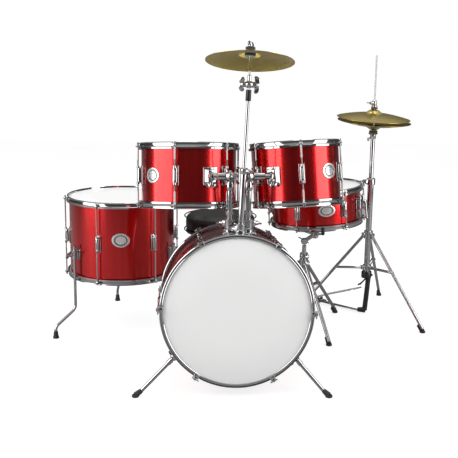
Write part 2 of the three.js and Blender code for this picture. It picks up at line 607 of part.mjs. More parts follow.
// ---------------------------------------------------------------- throne
function throne() {
  const { seatRadius, seatTop, tubeRadius, tubeBottom, tubeTop, postRadius } = THRONE;
  const under = seatTop - THRONE.seatThickness;
  const boss = 6;
  const tube = rod(vec(0, 0, tubeBottom), vec(0, 0, tubeTop), tubeRadius);
  const bore = rod(vec(0, 0, tubeBottom + 10), vec(0, 0, tubeTop + 5), postRadius + 2 * FIT);
  const legs = tripodSolid({ ...THRONE, bore: tubeRadius - 1 });
  const base = node('throne_tripod', cut(join(tube, legs), bore), CHROME);
  const post = node('throne_post',
    rod(vec(0, 0, THRONE.postBottom), vec(0, 0, under - boss - FIT), postRadius), CHROME);
  const slide = group(vec(0, 0, 0), post);
  slide.name = 'throne_height';
  const seat = revolve([
    [0, under - boss], [30, under - boss], [30, under], [seatRadius - 16, under], [seatRadius, under + 16],
    [seatRadius, seatTop - 16], [seatRadius - 14, seatTop], [0, seatTop],
  ]);
  const spin = group(vec(0, 0, 0), node('throne_seat', seat, VINYL));
  spin.name = 'throne_spin';
  return group(vec(THRONE.x, THRONE.y, 0), base, slide, spin);
}

// ---------------------------------------------------------------- the whole kit
const kit = new THREE.Group();
kit.add(
  bassDrum(), spur('left'), spur('right'), tomMount(),
  ...mountedTom('left'), ...mountedTom('right'), crashStand(), floorTom(),
  snareStand(), snareDrum(), hihat(), ...kickPedal(), throne(),
);

// The kit's origin is the middle of its footprint, on the floor.
kit.updateMatrixWorld(true);
const extent = new THREE.Box3().setFromObject(kit, true);
kit.position.set(-(extent.min.x + extent.max.x) / 2, -(extent.min.y + extent.max.y) / 2, -extent.min.z);

export default kit;
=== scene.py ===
"""Looks of a junior acoustic drum kit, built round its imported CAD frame.

Metres, +Z up, +Y towards the player. Sizes and places come from the CAD nodes and joints.
"""

import json
import math

import bmesh
import bpy
from mathutils import Matrix, Vector


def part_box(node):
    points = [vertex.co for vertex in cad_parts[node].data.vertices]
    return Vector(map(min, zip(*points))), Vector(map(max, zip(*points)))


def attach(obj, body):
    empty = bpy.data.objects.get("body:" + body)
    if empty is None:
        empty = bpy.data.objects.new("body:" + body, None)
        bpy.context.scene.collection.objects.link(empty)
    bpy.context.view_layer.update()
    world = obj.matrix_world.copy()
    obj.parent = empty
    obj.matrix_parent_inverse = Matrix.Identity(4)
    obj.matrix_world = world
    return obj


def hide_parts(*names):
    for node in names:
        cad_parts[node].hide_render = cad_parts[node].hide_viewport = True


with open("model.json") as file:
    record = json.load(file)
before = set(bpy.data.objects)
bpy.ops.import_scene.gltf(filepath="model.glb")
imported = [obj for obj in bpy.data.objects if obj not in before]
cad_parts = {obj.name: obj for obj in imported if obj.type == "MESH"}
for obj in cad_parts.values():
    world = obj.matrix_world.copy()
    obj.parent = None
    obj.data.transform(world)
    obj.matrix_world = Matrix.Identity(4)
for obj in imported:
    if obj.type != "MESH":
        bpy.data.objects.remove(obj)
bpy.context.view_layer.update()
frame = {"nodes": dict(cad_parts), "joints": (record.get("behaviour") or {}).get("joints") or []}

MM = 0.001
SIDES = 128          # facets round a drum
TUBE_SIDES = 24
X, Y, Z = Vector((1, 0, 0)), Vector((0, 1, 0)), Vector((0, 0, 1))


# ------------------------------------------------------------------ reading the frame
def centre_of(node):
    """Middle of a CAD node's vertices' box."""
    low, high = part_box(node)
    return (low + high) / 2


def vertices_of(node):
    return [v.co.copy() for v in frame["nodes"][node].data.vertices]


def mean_of(node):
    """Middle of a round flat node, whichever way it leans."""
    points = {tuple(round(c, 6) for c in v) for v in vertices_of(node)}
    return sum((Vector(p) for p in points), Vector()) / len(points)


def joint(name):
    return next(j for j in frame["joints"] if j["name"] == name)


def pivot(name):
    return Vector(joint(name)["pos_m"])


def axis_frame(origin, axis):
    z = axis.normalized()
    x = (X - X.dot(z) * z).normalized()
    y = z.cross(x)
    m = Matrix((x, y, z)).transposed().to_4x4()
    m.translation = origin
    return m


def polar(r, degrees, z=0.0):
    a = math.radians(degrees)
    return Vector((r * math.cos(a), r * math.sin(a), z))


def turned(degrees, position=(0, 0, 0)):
    """A frame turned about Z whose X points outwards at that angle."""
    return Matrix.Translation(position) @ Matrix.Rotation(math.radians(degrees), 4, "Z")


def along(p, q):
    """A frame at p with Z pointing to q."""
    m = (q - p).to_track_quat("Z", "Y").to_matrix().to_4x4()
    m.translation = p
    return m


# ------------------------------------------------------------------ mesh tools
def lathe(bm, outline, m=Matrix(), sides=SIDES, material=0):
    """Turns an anticlockwise [radius, height] outline about Z and closes it."""
    rings = []
    for r, z in outline:
        if r < 1e-7:
            rings.append([bm.verts.new(m @ Vector((0, 0, z)))])
        else:
            rings.append([bm.verts.new(m @ polar(r, 360 * i / sides, z)) for i in range(sides)])
    for a, b in zip(rings, rings[1:] + rings[:1]):
        if len(a) == 1 and len(b) == 1:
            continue
        for i in range(sides):
            j = (i + 1) % sides
            around = [a[i % len(a)], a[j % len(a)], b[j % len(b)], b[i % len(b)]]
            bm.faces.new(list(dict.fromkeys(around))).material_index = material


def bar(bm, p, q, r, r_end=None, sides=TUBE_SIDES, edge=0.0005, material=0):
    """A round bar from p to q with eased ends."""
    end = r if r_end is None else r_end
    length = (q - p).length
    e = min(edge, r * 0.4, end * 0.4, length * 0.3)
    outline = [(0, 0), (r - e, 0), (r, e), (end, length - e), (end - e, length), (0, length)]
    lathe(bm, outline, along(p, q), sides, material)


def pipe(bm, p, q, r, bore, sides=TUBE_SIDES, material=0):
    """A tube with an open bore."""
    length = (q - p).length
    e = 0.0004
    outline = [(bore, 0), (r - e, 0), (r, e), (r, length - e), (r - e, length), (bore, length)]
    lathe(bm, outline, along(p, q), sides, material)


def rounded(points, radius, steps=6):
    """The same path with each corner turned on an arc."""
    result = [points[0]]
    for before, corner, after in zip(points, points[1:], points[2:]):
        u, v = (before - corner), (after - corner)
        reach = min(radius, u.length * 0.45, v.length * 0.45)
        start, end = corner + u.normalized() * reach, corner + v.normalized() * reach
        for i in range(steps + 1):
            t = i / steps
            result.append(start.lerp(corner, t).lerp(corner.lerp(end, t), t))
    return result + [points[-1]]


def sweep(bm, points, r, sides=16, material=0, flat=1.0):
    """A round or flattened bar along a path, closed at both ends."""
    tangents = []
    for i, p in enumerate(points):
        before, after = points[max(i - 1, 0)], points[min(i + 1, len(points) - 1)]
        tangents.append((after - before).normalized())
    side = tangents[0].orthogonal().normalized() if abs(tangents[0].z) > 0.9 else tangents[0].cross(Z).normalized()
    rings = []
    for p, t in zip(points, tangents):
        side = (side - side.dot(t) * t).normalized()
        up = t.cross(side)
        rings.append([bm.verts.new(p + side * r * math.cos(a) + up * r * flat * math.sin(a))
                      for a in (2 * math.pi * i / sides for i in range(sides))])
    for a, b in zip(rings, rings[1:]):
        for i in range(sides):
            j = (i + 1) % sides
            bm.faces.new((a[i], a[j], b[j], b[i])).material_index = material
    bm.faces.new(rings[0][::-1]).material_index = material
    bm.faces.new(rings[-1]).material_index = material


def slab(bm, size, m=Matrix(), edge=0.001, segments=3, material=0):
    """A block with rounded edges."""
    made = bmesh.ops.create_cube(bm, size=1, matrix=m @ Matrix.Diagonal((*size, 1)))
    edges = {e for v in made["verts"] for e in v.link_edges}
    faces = {f for v in made["verts"] for f in v.link_faces}
    for f in faces:
        f.material_index = material
    reach = min(edge, min(size) * 0.45)
    bmesh.ops.bevel(bm, geom=list(edges), offset=reach, segments=segments, profile=0.5,
                    affect="EDGES", material=material)


def blob(bm, m, size, material=0, rings=14):
    """A smooth ellipsoid."""
    made = bmesh.ops.create_uvsphere(bm, u_segments=20, v_segments=rings, radius=1,
                                     matrix=m @ Matrix.Diagonal((*size, 1)))
    for f in {f for v in made["verts"] for f in v.link_faces}:
        f.material_index = material


def wing_bolt(bm, m, size=1.0, shank=0.014, material=0):
    """A wing bolt: Z is its axis and the wings spread along X."""
    s = size
    bar(bm, m @ Vector((0, 0, -shank)), m @ Vector((0, 0, 0.002)), 0.003 * s, sides=16, material=material)
    lathe(bm, [(0, 0), (0.0062 * s, 0), (0.0055 * s, 0.008 * s), (0.0035 * s, 0.0105 * s), (0, 0.011 * s)],
          m, 20, material)
    for side in (-1, 1):
        tilt = Matrix.Rotation(math.radians(side * 28), 4, "Y")
        place = m @ Matrix.Translation((side * 0.010 * s, 0, 0.009 * s)) @ tilt
        blob(bm, place, (0.0085 * s, 0.0019 * s, 0.0058 * s), material)


def hex_nut(bm, m, r=0.006, height=0.005, sides=6, material=0):
    e = 0.0006
    lathe(bm, [(0, 0), (r - e, 0), (r, e), (r, height - e), (r - e, height), (0, height)], m, sides, material)


def piece(name, bm, materials, body, m=Matrix(), replaces=(), bevel=0.0, subdivide=0, sharp=32):
    """Turns the collected mesh into an object that rides on a body."""
    bmesh.ops.recalc_face_normals(bm, faces=bm.faces)
    mesh = bpy.data.meshes.new(name)
    bm.to_mesh(mesh)
    bm.free()
    obj = bpy.data.objects.new(name, mesh)
    bpy.context.scene.collection.objects.link(obj)
    for material in materials if isinstance(materials, (list, tuple)) else [materials]:
        mesh.materials.append(material)
    mesh.polygons.foreach_set("use_smooth", [True] * len(mesh.polygons))
    if sharp:
        mesh.set_sharp_from_angle(angle=math.radians(sharp))
    if bevel:
        modifier = obj.modifiers.new("eased_edges", "BEVEL")
        modifier.width = bevel
        modifier.segments = 2
        modifier.limit_method = "ANGLE"
        modifier.angle_limit = math.radians(40)
        modifier.harden_normals = True
    if subdivide:
        modifier = obj.modifiers.new("smooth", "SUBSURF")
        modifier.levels = modifier.render_levels = subdivide
    obj.matrix_world = m
    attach(obj, body)
    if replaces:
        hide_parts(*([replaces] if isinstance(replaces, str) else replaces))
    return obj


# ------------------------------------------------------------------ shader groups
def new_group(name, inputs, outputs):
    tree = bpy.data.node_groups.new(name, "ShaderNodeTree")
    for label, default in inputs.items():
        kind = "NodeSocketColor" if isinstance(default, tuple) else "NodeSocketFloat"
        socket = tree.interface.new_socket(label, in_out="INPUT", socket_type=kind)
        socket.default_value = default
    for label, kind in outputs.items():
        tree.interface.new_socket(label, in_out="OUTPUT", socket_type=f"NodeSocket{kind}")
    return tree, tree.nodes.new("NodeGroupInput"), tree.nodes.new("NodeGroupOutput")


def add(tree, kind, **values):
    made = tree.nodes.new(f"ShaderNode{kind}")
    for key, value in values.items():
        if hasattr(made, key):
            setattr(made, key, value)
        else:
            made.inputs[key].default_value = value
    return made


def math_node(tree, operation, a, b=None):
    made = tree.nodes.new("ShaderNodeMath")
    made.operation = operation
    for socket, value in zip(made.inputs, (a, b)):
        if value is None:
            continue
        if isinstance(value, (int, float)):
            socket.default_value = value
        else:
            tree.links.new(value, socket)
    return made.outputs[0]


def surface_marks_group():
    """Handling marks: cloudy roughness between two values and a very shallow ripple."""
    tree, gin, gout = new_group("surface_marks", {"Scale": 30.0, "Smooth": 0.06, "Dull": 0.2, "Ripple": 0.05},
                                {"Roughness": "Float", "Normal": "Vector"})
    place = add(tree, "TexCoord")
    cloud = add(tree, "TexNoise", Detail=6.0, Roughness=0.6)
    tree.links.new(place.outputs["Object"], cloud.inputs["Vector"])
    tree.links.new(gin.outputs["Scale"], cloud.inputs["Scale"])
    ramp = add(tree, "MapRange")
    ramp.inputs["From Min"].default_value = 0.35
    ramp.inputs["From Max"].default_value = 0.75
    tree.links.new(cloud.outputs["Fac"], ramp.inputs["Value"])
    tree.links.new(gin.outputs["Smooth"], ramp.inputs["To Min"])
    tree.links.new(gin.outputs["Dull"], ramp.inputs["To Max"])
    fine = add(tree, "TexNoise", Detail=3.0)
    tree.links.new(place.outputs["Object"], fine.inputs["Vector"])
    tree.links.new(math_node(tree, "MULTIPLY", gin.outputs["Scale"], 6.0), fine.inputs["Scale"])
    bump = add(tree, "Bump", Distance=0.0006)
    tree.links.new(gin.outputs["Ripple"], bump.inputs["Strength"])
    tree.links.new(fine.outputs["Fac"], bump.inputs["Height"])
    tree.links.new(ramp.outputs[0], gout.inputs["Roughness"])
    tree.links.new(bump.outputs[0], gout.inputs["Normal"])
    return tree


def grain_group():
    """Pebbled or fibrous grain: a height and a two-tone colour."""
    tree, gin, gout = new_group(
        "grain", {"Scale": 400.0, "Fibre": 0.5, "Light": (0.1, 0.1, 0.1, 1), "Dark": (0.02, 0.02, 0.02, 1)},
        {"Color": "Color", "Height": "Float"})
    place = add(tree, "TexCoord")
    cells = add(tree, "TexVoronoi")
    noise = add(tree, "TexNoise", Detail=8.0, Roughness=0.65)
    for texture in (cells, noise):
        tree.links.new(place.outputs["Object"], texture.inputs["Vector"])
        tree.links.new(gin.outputs["Scale"], texture.inputs["Scale"])
    height = add(tree, "Mix", data_type="FLOAT")
    tree.links.new(gin.outputs["Fibre"], height.inputs[0])
    tree.links.new(cells.outputs["Distance"], height.inputs[2])
    tree.links.new(noise.outputs["Fac"], height.inputs[3])
    tone = add(tree, "Mix", data_type="RGBA")
    tree.links.new(height.outputs[0], tone.inputs[0])
    tree.links.new(gin.outputs["Dark"], tone.inputs[6])
    tree.links.new(gin.outputs["Light"], tone.inputs[7])
    tree.links.new(tone.outputs[2], gout.inputs["Color"])
    tree.links.new(height.outputs[0], gout.inputs["Height"])
    return tree


def lathe_rings_group():
    """Fine turned grooves round the piece's own axis, with a broad change of tone between bands."""
    tree, gin, gout = new_group(
        "lathe_rings", {"Pitch": 900.0, "Light": (0.8, 0.6, 0.2, 1), "Dark": (0.5, 0.35, 0.1, 1)},
        {"Color": "Color", "Height": "Float", "Roughness": "Float"})
    place = add(tree, "TexCoord")
    split = add(tree, "SeparateXYZ")
    tree.links.new(place.outputs["Object"], split.inputs[0])
    square = math_node(tree, "ADD", math_node(tree, "POWER", math_node(tree, "ABSOLUTE", split.outputs[0]), 2.0),
                       math_node(tree, "POWER", math_node(tree, "ABSOLUTE", split.outputs[1]), 2.0))
    radius = math_node(tree, "SQRT", square)
    rings = add(tree, "TexNoise", noise_dimensions="1D", Detail=4.0, Roughness=0.7)
    tree.links.new(radius, rings.inputs["W"])
    tree.links.new(gin.outputs["Pitch"], rings.inputs["Scale"])
    bands = add(tree, "TexNoise", noise_dimensions="1D", Detail=2.0)
    tree.links.new(radius, bands.inputs["W"])
    bands.inputs["Scale"].default_value = 70.0
    tone = add(tree, "Mix", data_type="RGBA")
    tree.links.new(bands.outputs["Fac"], tone.inputs[0])
    tree.links.new(gin.outputs["Dark"], tone.inputs[6])
    tree.links.new(gin.outputs["Light"], tone.inputs[7])
    rough = add(tree, "MapRange")
    rough.inputs["To Min"].default_value = 0.16
    rough.inputs["To Max"].default_value = 0.36
    tree.links.new(rings.outputs["Fac"], rough.inputs["Value"])
    tree.links.new(tone.outputs[2], gout.inputs["Color"])
    tree.links.new(rings.outputs["Fac"], gout.inputs["Height"])
    tree.links.new(rough.outputs[0], gout.inputs["Roughness"])
    return tree


MARKS, GRAIN, RINGS = surface_marks_group(), grain_group(), lathe_rings_group()


# ------------------------------------------------------------------ materials
def principled(name, **sockets):
    material = bpy.data.materials.new(name)
    material.use_nodes = True
    shader = material.node_tree.nodes["Principled BSDF"]
    for key, value in sockets.items():
        socket = shader.inputs[key.replace("_", " ")]
        socket.default_value = (*value, 1) if socket.type == "RGBA" else value
    return material, material.node_tree, shader


def use(tree, group, **values):
    made = tree.nodes.new("ShaderNodeGroup")
    made.node_tree = group
    for key, value in values.items():
        made.inputs[key].default_value = (*value, 1) if isinstance(value, tuple) else value
    return made


def marked(name, smooth, dull, ripple, scale, **sockets):
    """A hard, polished material with handling marks."""
    material, tree, shader = principled(name, **sockets)
    marks = use(tree, MARKS, Scale=scale, Smooth=smooth, Dull=dull, Ripple=ripple)
    tree.links.new(marks.outputs["Roughness"], shader.inputs["Roughness"])
    tree.links.new(marks.outputs["Normal"], shader.inputs["Normal"])
    return material


def grained(name, light, dark, scale, fibre, depth, roughness, **sockets):
    """A soft or moulded material with grain."""
    material, tree, shader = principled(name, Roughness=roughness, **sockets)
    grain = use(tree, GRAIN, Scale=scale, Fibre=fibre, Light=light, Dark=dark)
    tree.links.new(grain.outputs["Color"], shader.inputs["Base Color"])
    bump = add(tree, "Bump", Strength=0.5, Distance=depth)
    tree.links.new(grain.outputs["Height"], bump.inputs["Height"])
    tree.links.new(bump.outputs[0], shader.inputs["Normal"])
    return material


def drum_wrap():
    """Candy red foil wrap under a clear skin: broad vertical streaks of painted reflection and painted shade down the
    sheet, and fine flake.
    """
    material, tree, shader = principled(
        "candy_red_wrap", Metallic=0.93, Coat_Weight=0.8, Coat_Roughness=0.07, Coat_IOR=1.4, Specular_IOR_Level=0.5)
    place = add(tree, "TexCoord")
    stretch = add(tree, "Mapping", Scale=(1, 1, 0.06))
    tree.links.new(place.outputs["Object"], stretch.inputs["Vector"])
    # Vertical streaks painted into the base colour stand for reflected light and shade: painted reflection and painted
    # shade.
    painted_reflection_streaks = add(tree, "TexNoise", Scale=26.0, Detail=5.0, Roughness=0.55)
    tree.links.new(stretch.outputs[0], painted_reflection_streaks.inputs["Vector"])
    # The dark red stop is painted shade and the bright red stop is painted reflection.
    colour = add(tree, "ValToRGB")
    stops = colour.color_ramp.elements
    stops[0].position, stops[0].color = 0.3, (0.44, 0.005, 0.009, 1)
    stops[1].position, stops[1].color = 0.7, (0.72, 0.022, 0.020, 1)
    tree.links.new(painted_reflection_streaks.outputs["Fac"], colour.inputs[0])
    tree.links.new(colour.outputs[0], shader.inputs["Base Color"])
    flake = add(tree, "TexVoronoi", Scale=1400.0)
    tree.links.new(place.outputs["Object"], flake.inputs["Vector"])
    rough = add(tree, "MapRange")
    rough.inputs["To Min"].default_value = 0.17
    rough.inputs["To Max"].default_value = 0.28
    tree.links.new(flake.outputs["Distance"], rough.inputs["Value"])
    tree.links.new(rough.outputs[0], shader.inputs["Roughness"])
    bump = add(tree, "Bump", Strength=0.08, Distance=0.0003)
    tree.links.new(flake.outputs["Distance"], bump.inputs["Height"])
    tree.links.new(bump.outputs[0], shader.inputs["Normal"])
    return material


def cymbal_bronze():
    material, tree, shader = principled("cymbal_bronze", Metallic=1.0, Anisotropic=0.4)
    rings = use(tree, RINGS, Pitch=1500.0, Light=(0.74, 0.58, 0.17), Dark=(0.50, 0.38, 0.09))
    for label, target in (("Color", "Base Color"), ("Roughness", "Roughness")):
        tree.links.new(rings.outputs[label], shader.inputs[target])
    bump = add(tree, "Bump", Strength=0.35, Distance=0.0004)
    tree.links.new(rings.outputs["Height"], bump.inputs["Height"])
    tree.links.new(bump.outputs[0], shader.inputs["Normal"])
    return material


def plywood():
    """Shell plies: thin light and dark layers."""
    material, tree, shader = principled("maple_plies", Roughness=0.55)
    place = add(tree, "TexCoord")
    grain = add(tree, "Mapping", Scale=(1, 1, 8))
    tree.links.new(place.outputs["Object"], grain.inputs["Vector"])
    noise = add(tree, "TexNoise", Scale=60.0, Detail=8.0, Roughness=0.7)
    tree.links.new(grain.outputs[0], noise.inputs["Vector"])
    colour = add(tree, "ValToRGB")
    stops = colour.color_ramp.elements
    stops[0].color, stops[1].color = (0.42, 0.25, 0.12, 1), (0.72, 0.52, 0.31, 1)
    tree.links.new(noise.outputs["Fac"], colour.inputs[0])
    tree.links.new(colour.outputs[0], shader.inputs["Base Color"])
    return material


WRAP = drum_wrap()
BRONZE = cymbal_bronze()
PLY = plywood()
CHROME = marked("bright_chrome", 0.05, 0.12, 0.03, 25.0, Base_Color=(0.47, 0.47, 0.475), Metallic=1.0)
HOOP_CHROME = marked("hoop_chrome", 0.06, 0.15, 0.05, 40.0, Base_Color=(0.47, 0.47, 0.475), Metallic=1.0)
STEEL = marked("dull_steel", 0.25, 0.45, 0.2, 60.0, Base_Color=(0.45, 0.45, 0.46), Metallic=1.0)
SILVER = marked("badge_silver", 0.22, 0.34, 0.1, 80.0, Base_Color=(0.86, 0.86, 0.85), Metallic=0.85)
BLACK_PAINT = marked("black_paint", 0.28, 0.5, 0.3, 90.0, Base_Color=(0.012, 0.012, 0.013), Coat_Weight=0.4)
BLACK_PLASTIC = marked("black_plastic", 0.3, 0.45, 0.15, 90.0, Base_Color=(0.015, 0.015, 0.016))
HEAD_FILM = grained("coated_head", (0.96, 0.96, 0.955), (0.90, 0.90, 0.895), 900.0, 0.7, 0.00015, 0.42,
                    Subsurface_Weight=0.15, Subsurface_Radius=(0.004, 0.004, 0.004), Specular_IOR_Level=0.35)
RUBBER = grained("moulded_rubber", (0.028, 0.028, 0.028), (0.01, 0.01, 0.01), 700.0, 0.6, 0.0004, 0.72)
FELT = grained("black_felt", (0.05, 0.05, 0.05), (0.008, 0.008, 0.008), 1500.0, 1.0, 0.0012, 0.95, Sheen_Weight=0.6)
PALE_FELT = grained("beater_felt", (0.70, 0.69, 0.65), (0.45, 0.44, 0.41), 1200.0, 1.0, 0.0015, 0.95,
                    Sheen_Weight=0.5)
VINYL = grained("seat_vinyl", (0.022, 0.021, 0.019), (0.007, 0.007, 0.006), 520.0, 0.35, 0.0006, 0.5,
                Specular_IOR_Level=0.35)
THREAD = grained("seam_thread", (0.06, 0.06, 0.06), (0.02, 0.02, 0.02), 2500.0, 1.0, 0.0005, 0.8)


# ------------------------------------------------------------------ drums
FIT = 0.35 * MM
HEAD = 1.6 * MM
HOOP_SEAT = 3 * MM
ROD_OUT = 13 * MM          # tension rod axis outside the shell
LUG_HALF = 24 * MM


class Drum:
    """One drum read back from its CAD heads: its frame, radius and half depth."""

    def __init__(self, name, body, lug_angles, rise=7 * MM):
        batter, resonant = mean_of(f"{name}_batter_head"), mean_of(f"{name}_resonant_head")
        self.name, self.body, self.lugs, self.rise = name, body, lug_angles, rise
        self.m = axis_frame((batter + resonant) / 2, batter - resonant)
        self.half = (batter - resonant).length / 2 - FIT - HEAD / 2
        inverse = self.m.inverted()
        reach = max((inverse @ v).to_2d().length for v in vertices_of(f"{name}_batter_head"))
        self.radius = reach - HOOP_SEAT + FIT

    def end(self, side):
        """The frame of one end, with Z out of that head, and its lug angles."""
        if side == "batter":
            return self.m, self.lugs
        return self.m @ Matrix.Rotation(math.pi, 4, "X"), [-a for a in self.lugs]


def on_shell(r, degrees, z=0.0):
    """A frame on a shell: Z points outwards, Y along the drum's axis."""
    a = math.radians(degrees)
    m = Matrix(((-math.sin(a), math.cos(a), 0), (0, 0, 1), (math.cos(a), math.sin(a), 0))).transposed().to_4x4()
    m.translation = polar(r, degrees, z)
    return m


def shell(drum):
    r, h, wall, ease = drum.radius, drum.half, 6 * MM, 1.2 * MM
    bm = bmesh.new()
    lathe(bm, [(r - wall, -h + ease), (r - wall + ease, -h), (r - ease, -h), (r, -h + ease), (r, h - ease),
               (r - ease, h), (r - wall + ease, h), (r - wall, h - ease)])
    bm.faces.ensure_lookup_table()
    for face in bm.faces:
        if face.calc_center_median().to_2d().length < r - ease:
            face.material_index = 1
    slab(bm, (10 * MM, 2 * h - 6 * MM, 0.7 * MM), on_shell(r + 0.1 * MM, 87), 0.3 * MM, 1)
    return piece(f"{drum.name}_wrapped_shell", bm, [WRAP, PLY], drum.body, drum.m, f"{drum.name}_shell")


def head(drum, side):
    m, _ = drum.end(side)
    r, e = drum.radius, drum.half
    bm = bmesh.new()
    lathe(bm, [(0, e + 0.3 * MM), (r - 3 * MM, e + 0.3 * MM), (r + 0.6 * MM, e - 0.6 * MM),
               (r + 1.0 * MM, e - 8 * MM), (r + 2.3 * MM, e - 8 * MM), (r + 2.0 * MM, e + 0.2 * MM),
               (r - 2 * MM, e + 1.4 * MM), (r * 0.5, e + 1.4 * MM), (0, e + 1.4 * MM)])
    return piece(f"{drum.name}_{side}_film", bm, HEAD_FILM, drum.body, m, f"{drum.name}_{side}_head")


def hoop_outline(r, e, rise):
    """Flanged steel hoop: rolled top edge, straight wall and outward foot."""
    i = r + HOOP_SEAT + 0.2 * MM
    t = 1.6 * MM
    return [(i, e - 7 * MM), (i + 4.4 * MM, e - 8.2 * MM), (i + 4.8 * MM, e - 12 * MM), (i + 6.4 * MM, e - 12 * MM),
            (i + 6.4 * MM, e - 7.4 * MM), (i + 5.4 * MM, e - 6.4 * MM), (i + t + 0.6 * MM, e - 5.4 * MM),
            (i + t, e - 4.4 * MM), (i + t, e + rise - 3.2 * MM), (i + t + 1.8 * MM, e + rise - 2.6 * MM),
            (i + t + 2.2 * MM, e + rise - 1.2 * MM), (i + t + 1.2 * MM, e + rise - 0.2 * MM),
            (i + 0.6 * MM, e + rise), (i, e + rise - 1.4 * MM)]


def bass_hoop_outline(r, e, rise):
    """Deep channel-rolled bass hoop with a rounded crown and a turned-in front lip."""
    i = r - 1.5 * MM
    o = r + 10 * MM
    return [(r + 3 * MM, e - 15 * MM), (o - 2 * MM, e - 15 * MM), (o, e - 13 * MM), (o, e + rise - 3 * MM),
            (o - 0.7 * MM, e + rise - 1.2 * MM), (o - 2.2 * MM, e + rise - 0.2 * MM), (o - 3.8 * MM, e + rise - 0.4 * MM),
            (o - 4.8 * MM, e + rise - 2.6 * MM), (o - 6.6 * MM, e + rise - 2.6 * MM), (o - 7.4 * MM, e + rise - 0.6 * MM),
            (o - 8.6 * MM, e + rise), (i + 1.6 * MM, e + rise - 0.3 * MM), (i, e + rise - 1.8 * MM),
            (i + 0.4 * MM, e + 1.9 * MM), (r + 3 * MM, e + 1.9 * MM)]


def threaded_rod(bm, m, r, top, low):
    """A tension rod down a drum's side, with its thread showing above the lug."""
    bar(bm, m @ Vector((r.x, r.y, top)), m @ Vector((r.x, r.y, low + 16 * MM)), 2.4 * MM, sides=14)
    outline = [(0, low)]
    turns = 11
    for i in range(turns):
        z = low + i * 16 * MM / turns
        outline += [(1.9 * MM, z + 0.2 * MM), (2.5 * MM, z + 0.9 * MM)]
    outline += [(1.9 * MM, low + 16.4 * MM), (0, low + 16.4 * MM)]
    lathe(bm, outline, m @ Matrix.Translation((r.x, r.y, 0)), 12)


def hoop(drum, side, bass=False):
    """Hoop with ears, tension rods, washers and rod heads."""
    m, lugs = drum.end(side)
    r, e, rise = drum.radius, drum.half, drum.rise
    bm = bmesh.new()
    lathe(bm, bass_hoop_outline(r, e, rise) if bass else hoop_outline(r, e, rise))
    band = piece(f"{drum.name}_{side}_rim", bm, HOOP_CHROME, drum.body, m, f"{drum.name}_{side}_hoop")
    bm = bmesh.new()
    one = Matrix()
    for angle in lugs:
        axis = polar(r + ROD_OUT, angle)
        if bass:
            seat = e + rise + 3 * MM
            slab(bm, (15 * MM, 15 * MM, 2.6 * MM), turned(angle, polar(r + 8 * MM, angle, e + rise + 1.4 * MM)), 1.2 * MM)
            slab(bm, (2.6 * MM, 15 * MM, 22 * MM), turned(angle, polar(r + 11.6 * MM, angle, e + rise - 8 * MM)), 1.0 * MM)
            bar(bm, axis + Z * (e - 4 * MM), axis + Z * seat, 5.2 * MM, 4.4 * MM, sides=20)
        else:
            seat = e - 1.5 * MM
            ear = turned(angle, polar(r + 12.4 * MM, angle, e - 4.4 * MM))
            slab(bm, (13 * MM, 10 * MM, 5 * MM), ear, 2.2 * MM)
        lathe(bm, [(2 * MM, 0), (5.6 * MM, 0), (5.2 * MM, 1.3 * MM), (2 * MM, 1.3 * MM)],
              Matrix.Translation(axis + Z * seat), 20)
        if drum.name in ("bass", "floor_tom"):
            lathe(bm, [(0, 0), (3.6 * MM, 0), (3.4 * MM, 5 * MM), (0, 6 * MM)],
                  Matrix.Translation(axis + Z * (seat + 1.3 * MM)), 16)
            across = turned(angle, axis + Z * (seat + 5.2 * MM))
            bar(bm, across @ (Y * -11 * MM), across @ (Y * 11 * MM), 2.1 * MM, 2.1 * MM, 14)
        else:
            slab(bm, (5 * MM, 5 * MM, 8 * MM), turned(angle, axis + Z * (seat + 5 * MM)), 0.8 * MM)
        threaded_rod(bm, one, axis, seat, LUG_HALF + 3 * MM)
    piece(f"{drum.name}_{side}_tension_rods", bm, CHROME, drum.body, m, bevel=0.0)
    return band


def lugs(drum):
    """Domed casings with a stepped base, a centre bead and a swivel nut at each end."""
    bm = bmesh.new()
    for angle in drum.lugs:
        m = on_shell(drum.radius, angle)
        slab(bm, (17 * MM, 54 * MM, 3 * MM), m @ Matrix.Translation((0, 0, 1.4 * MM)), 1.4 * MM)
        slab(bm, (13.5 * MM, 44 * MM, 13 * MM), m @ Matrix.Translation((0, 0, 8 * MM)), 4.6 * MM, 5)
        slab(bm, (4 * MM, 30 * MM, 3 * MM), m @ Matrix.Translation((0, 0, 14.4 * MM)), 1.3 * MM)
        for end in (-1, 1):
            start = m @ Vector((0, end * 19 * MM, ROD_OUT))
            bar(bm, start, m @ Vector((0, end * (LUG_HALF + 2.6 * MM), ROD_OUT)), 4.9 * MM, 4.3 * MM, 20, 0.9 * MM)
    piece(f"{drum.name}_lugs", bm, CHROME, drum.body, drum.m)


def vent(drum, angle, z=0.0):
    bm = bmesh.new()
    m = on_shell(drum.radius - 0.3 * MM, angle, z)
    lathe(bm, [(3.2 * MM, 0), (8 * MM, 0), (7.6 * MM, 1.2 * MM), (5.5 * MM, 2.0 * MM), (3.6 * MM, 1.6 * MM)], m, 32)
    # The black disc inside the grommet is painted shade: it stands for the dark inside of the drum seen through the
    # vent hole.
    lathe(bm, [(0, 0.2 * MM), (3.4 * MM, 0.2 * MM), (3.4 * MM, 0.7 * MM), (0, 0.7 * MM)], m, 24, 1)
    piece(f"{drum.name}_air_vent", bm, [CHROME, BLACK_PLASTIC], drum.body, drum.m)


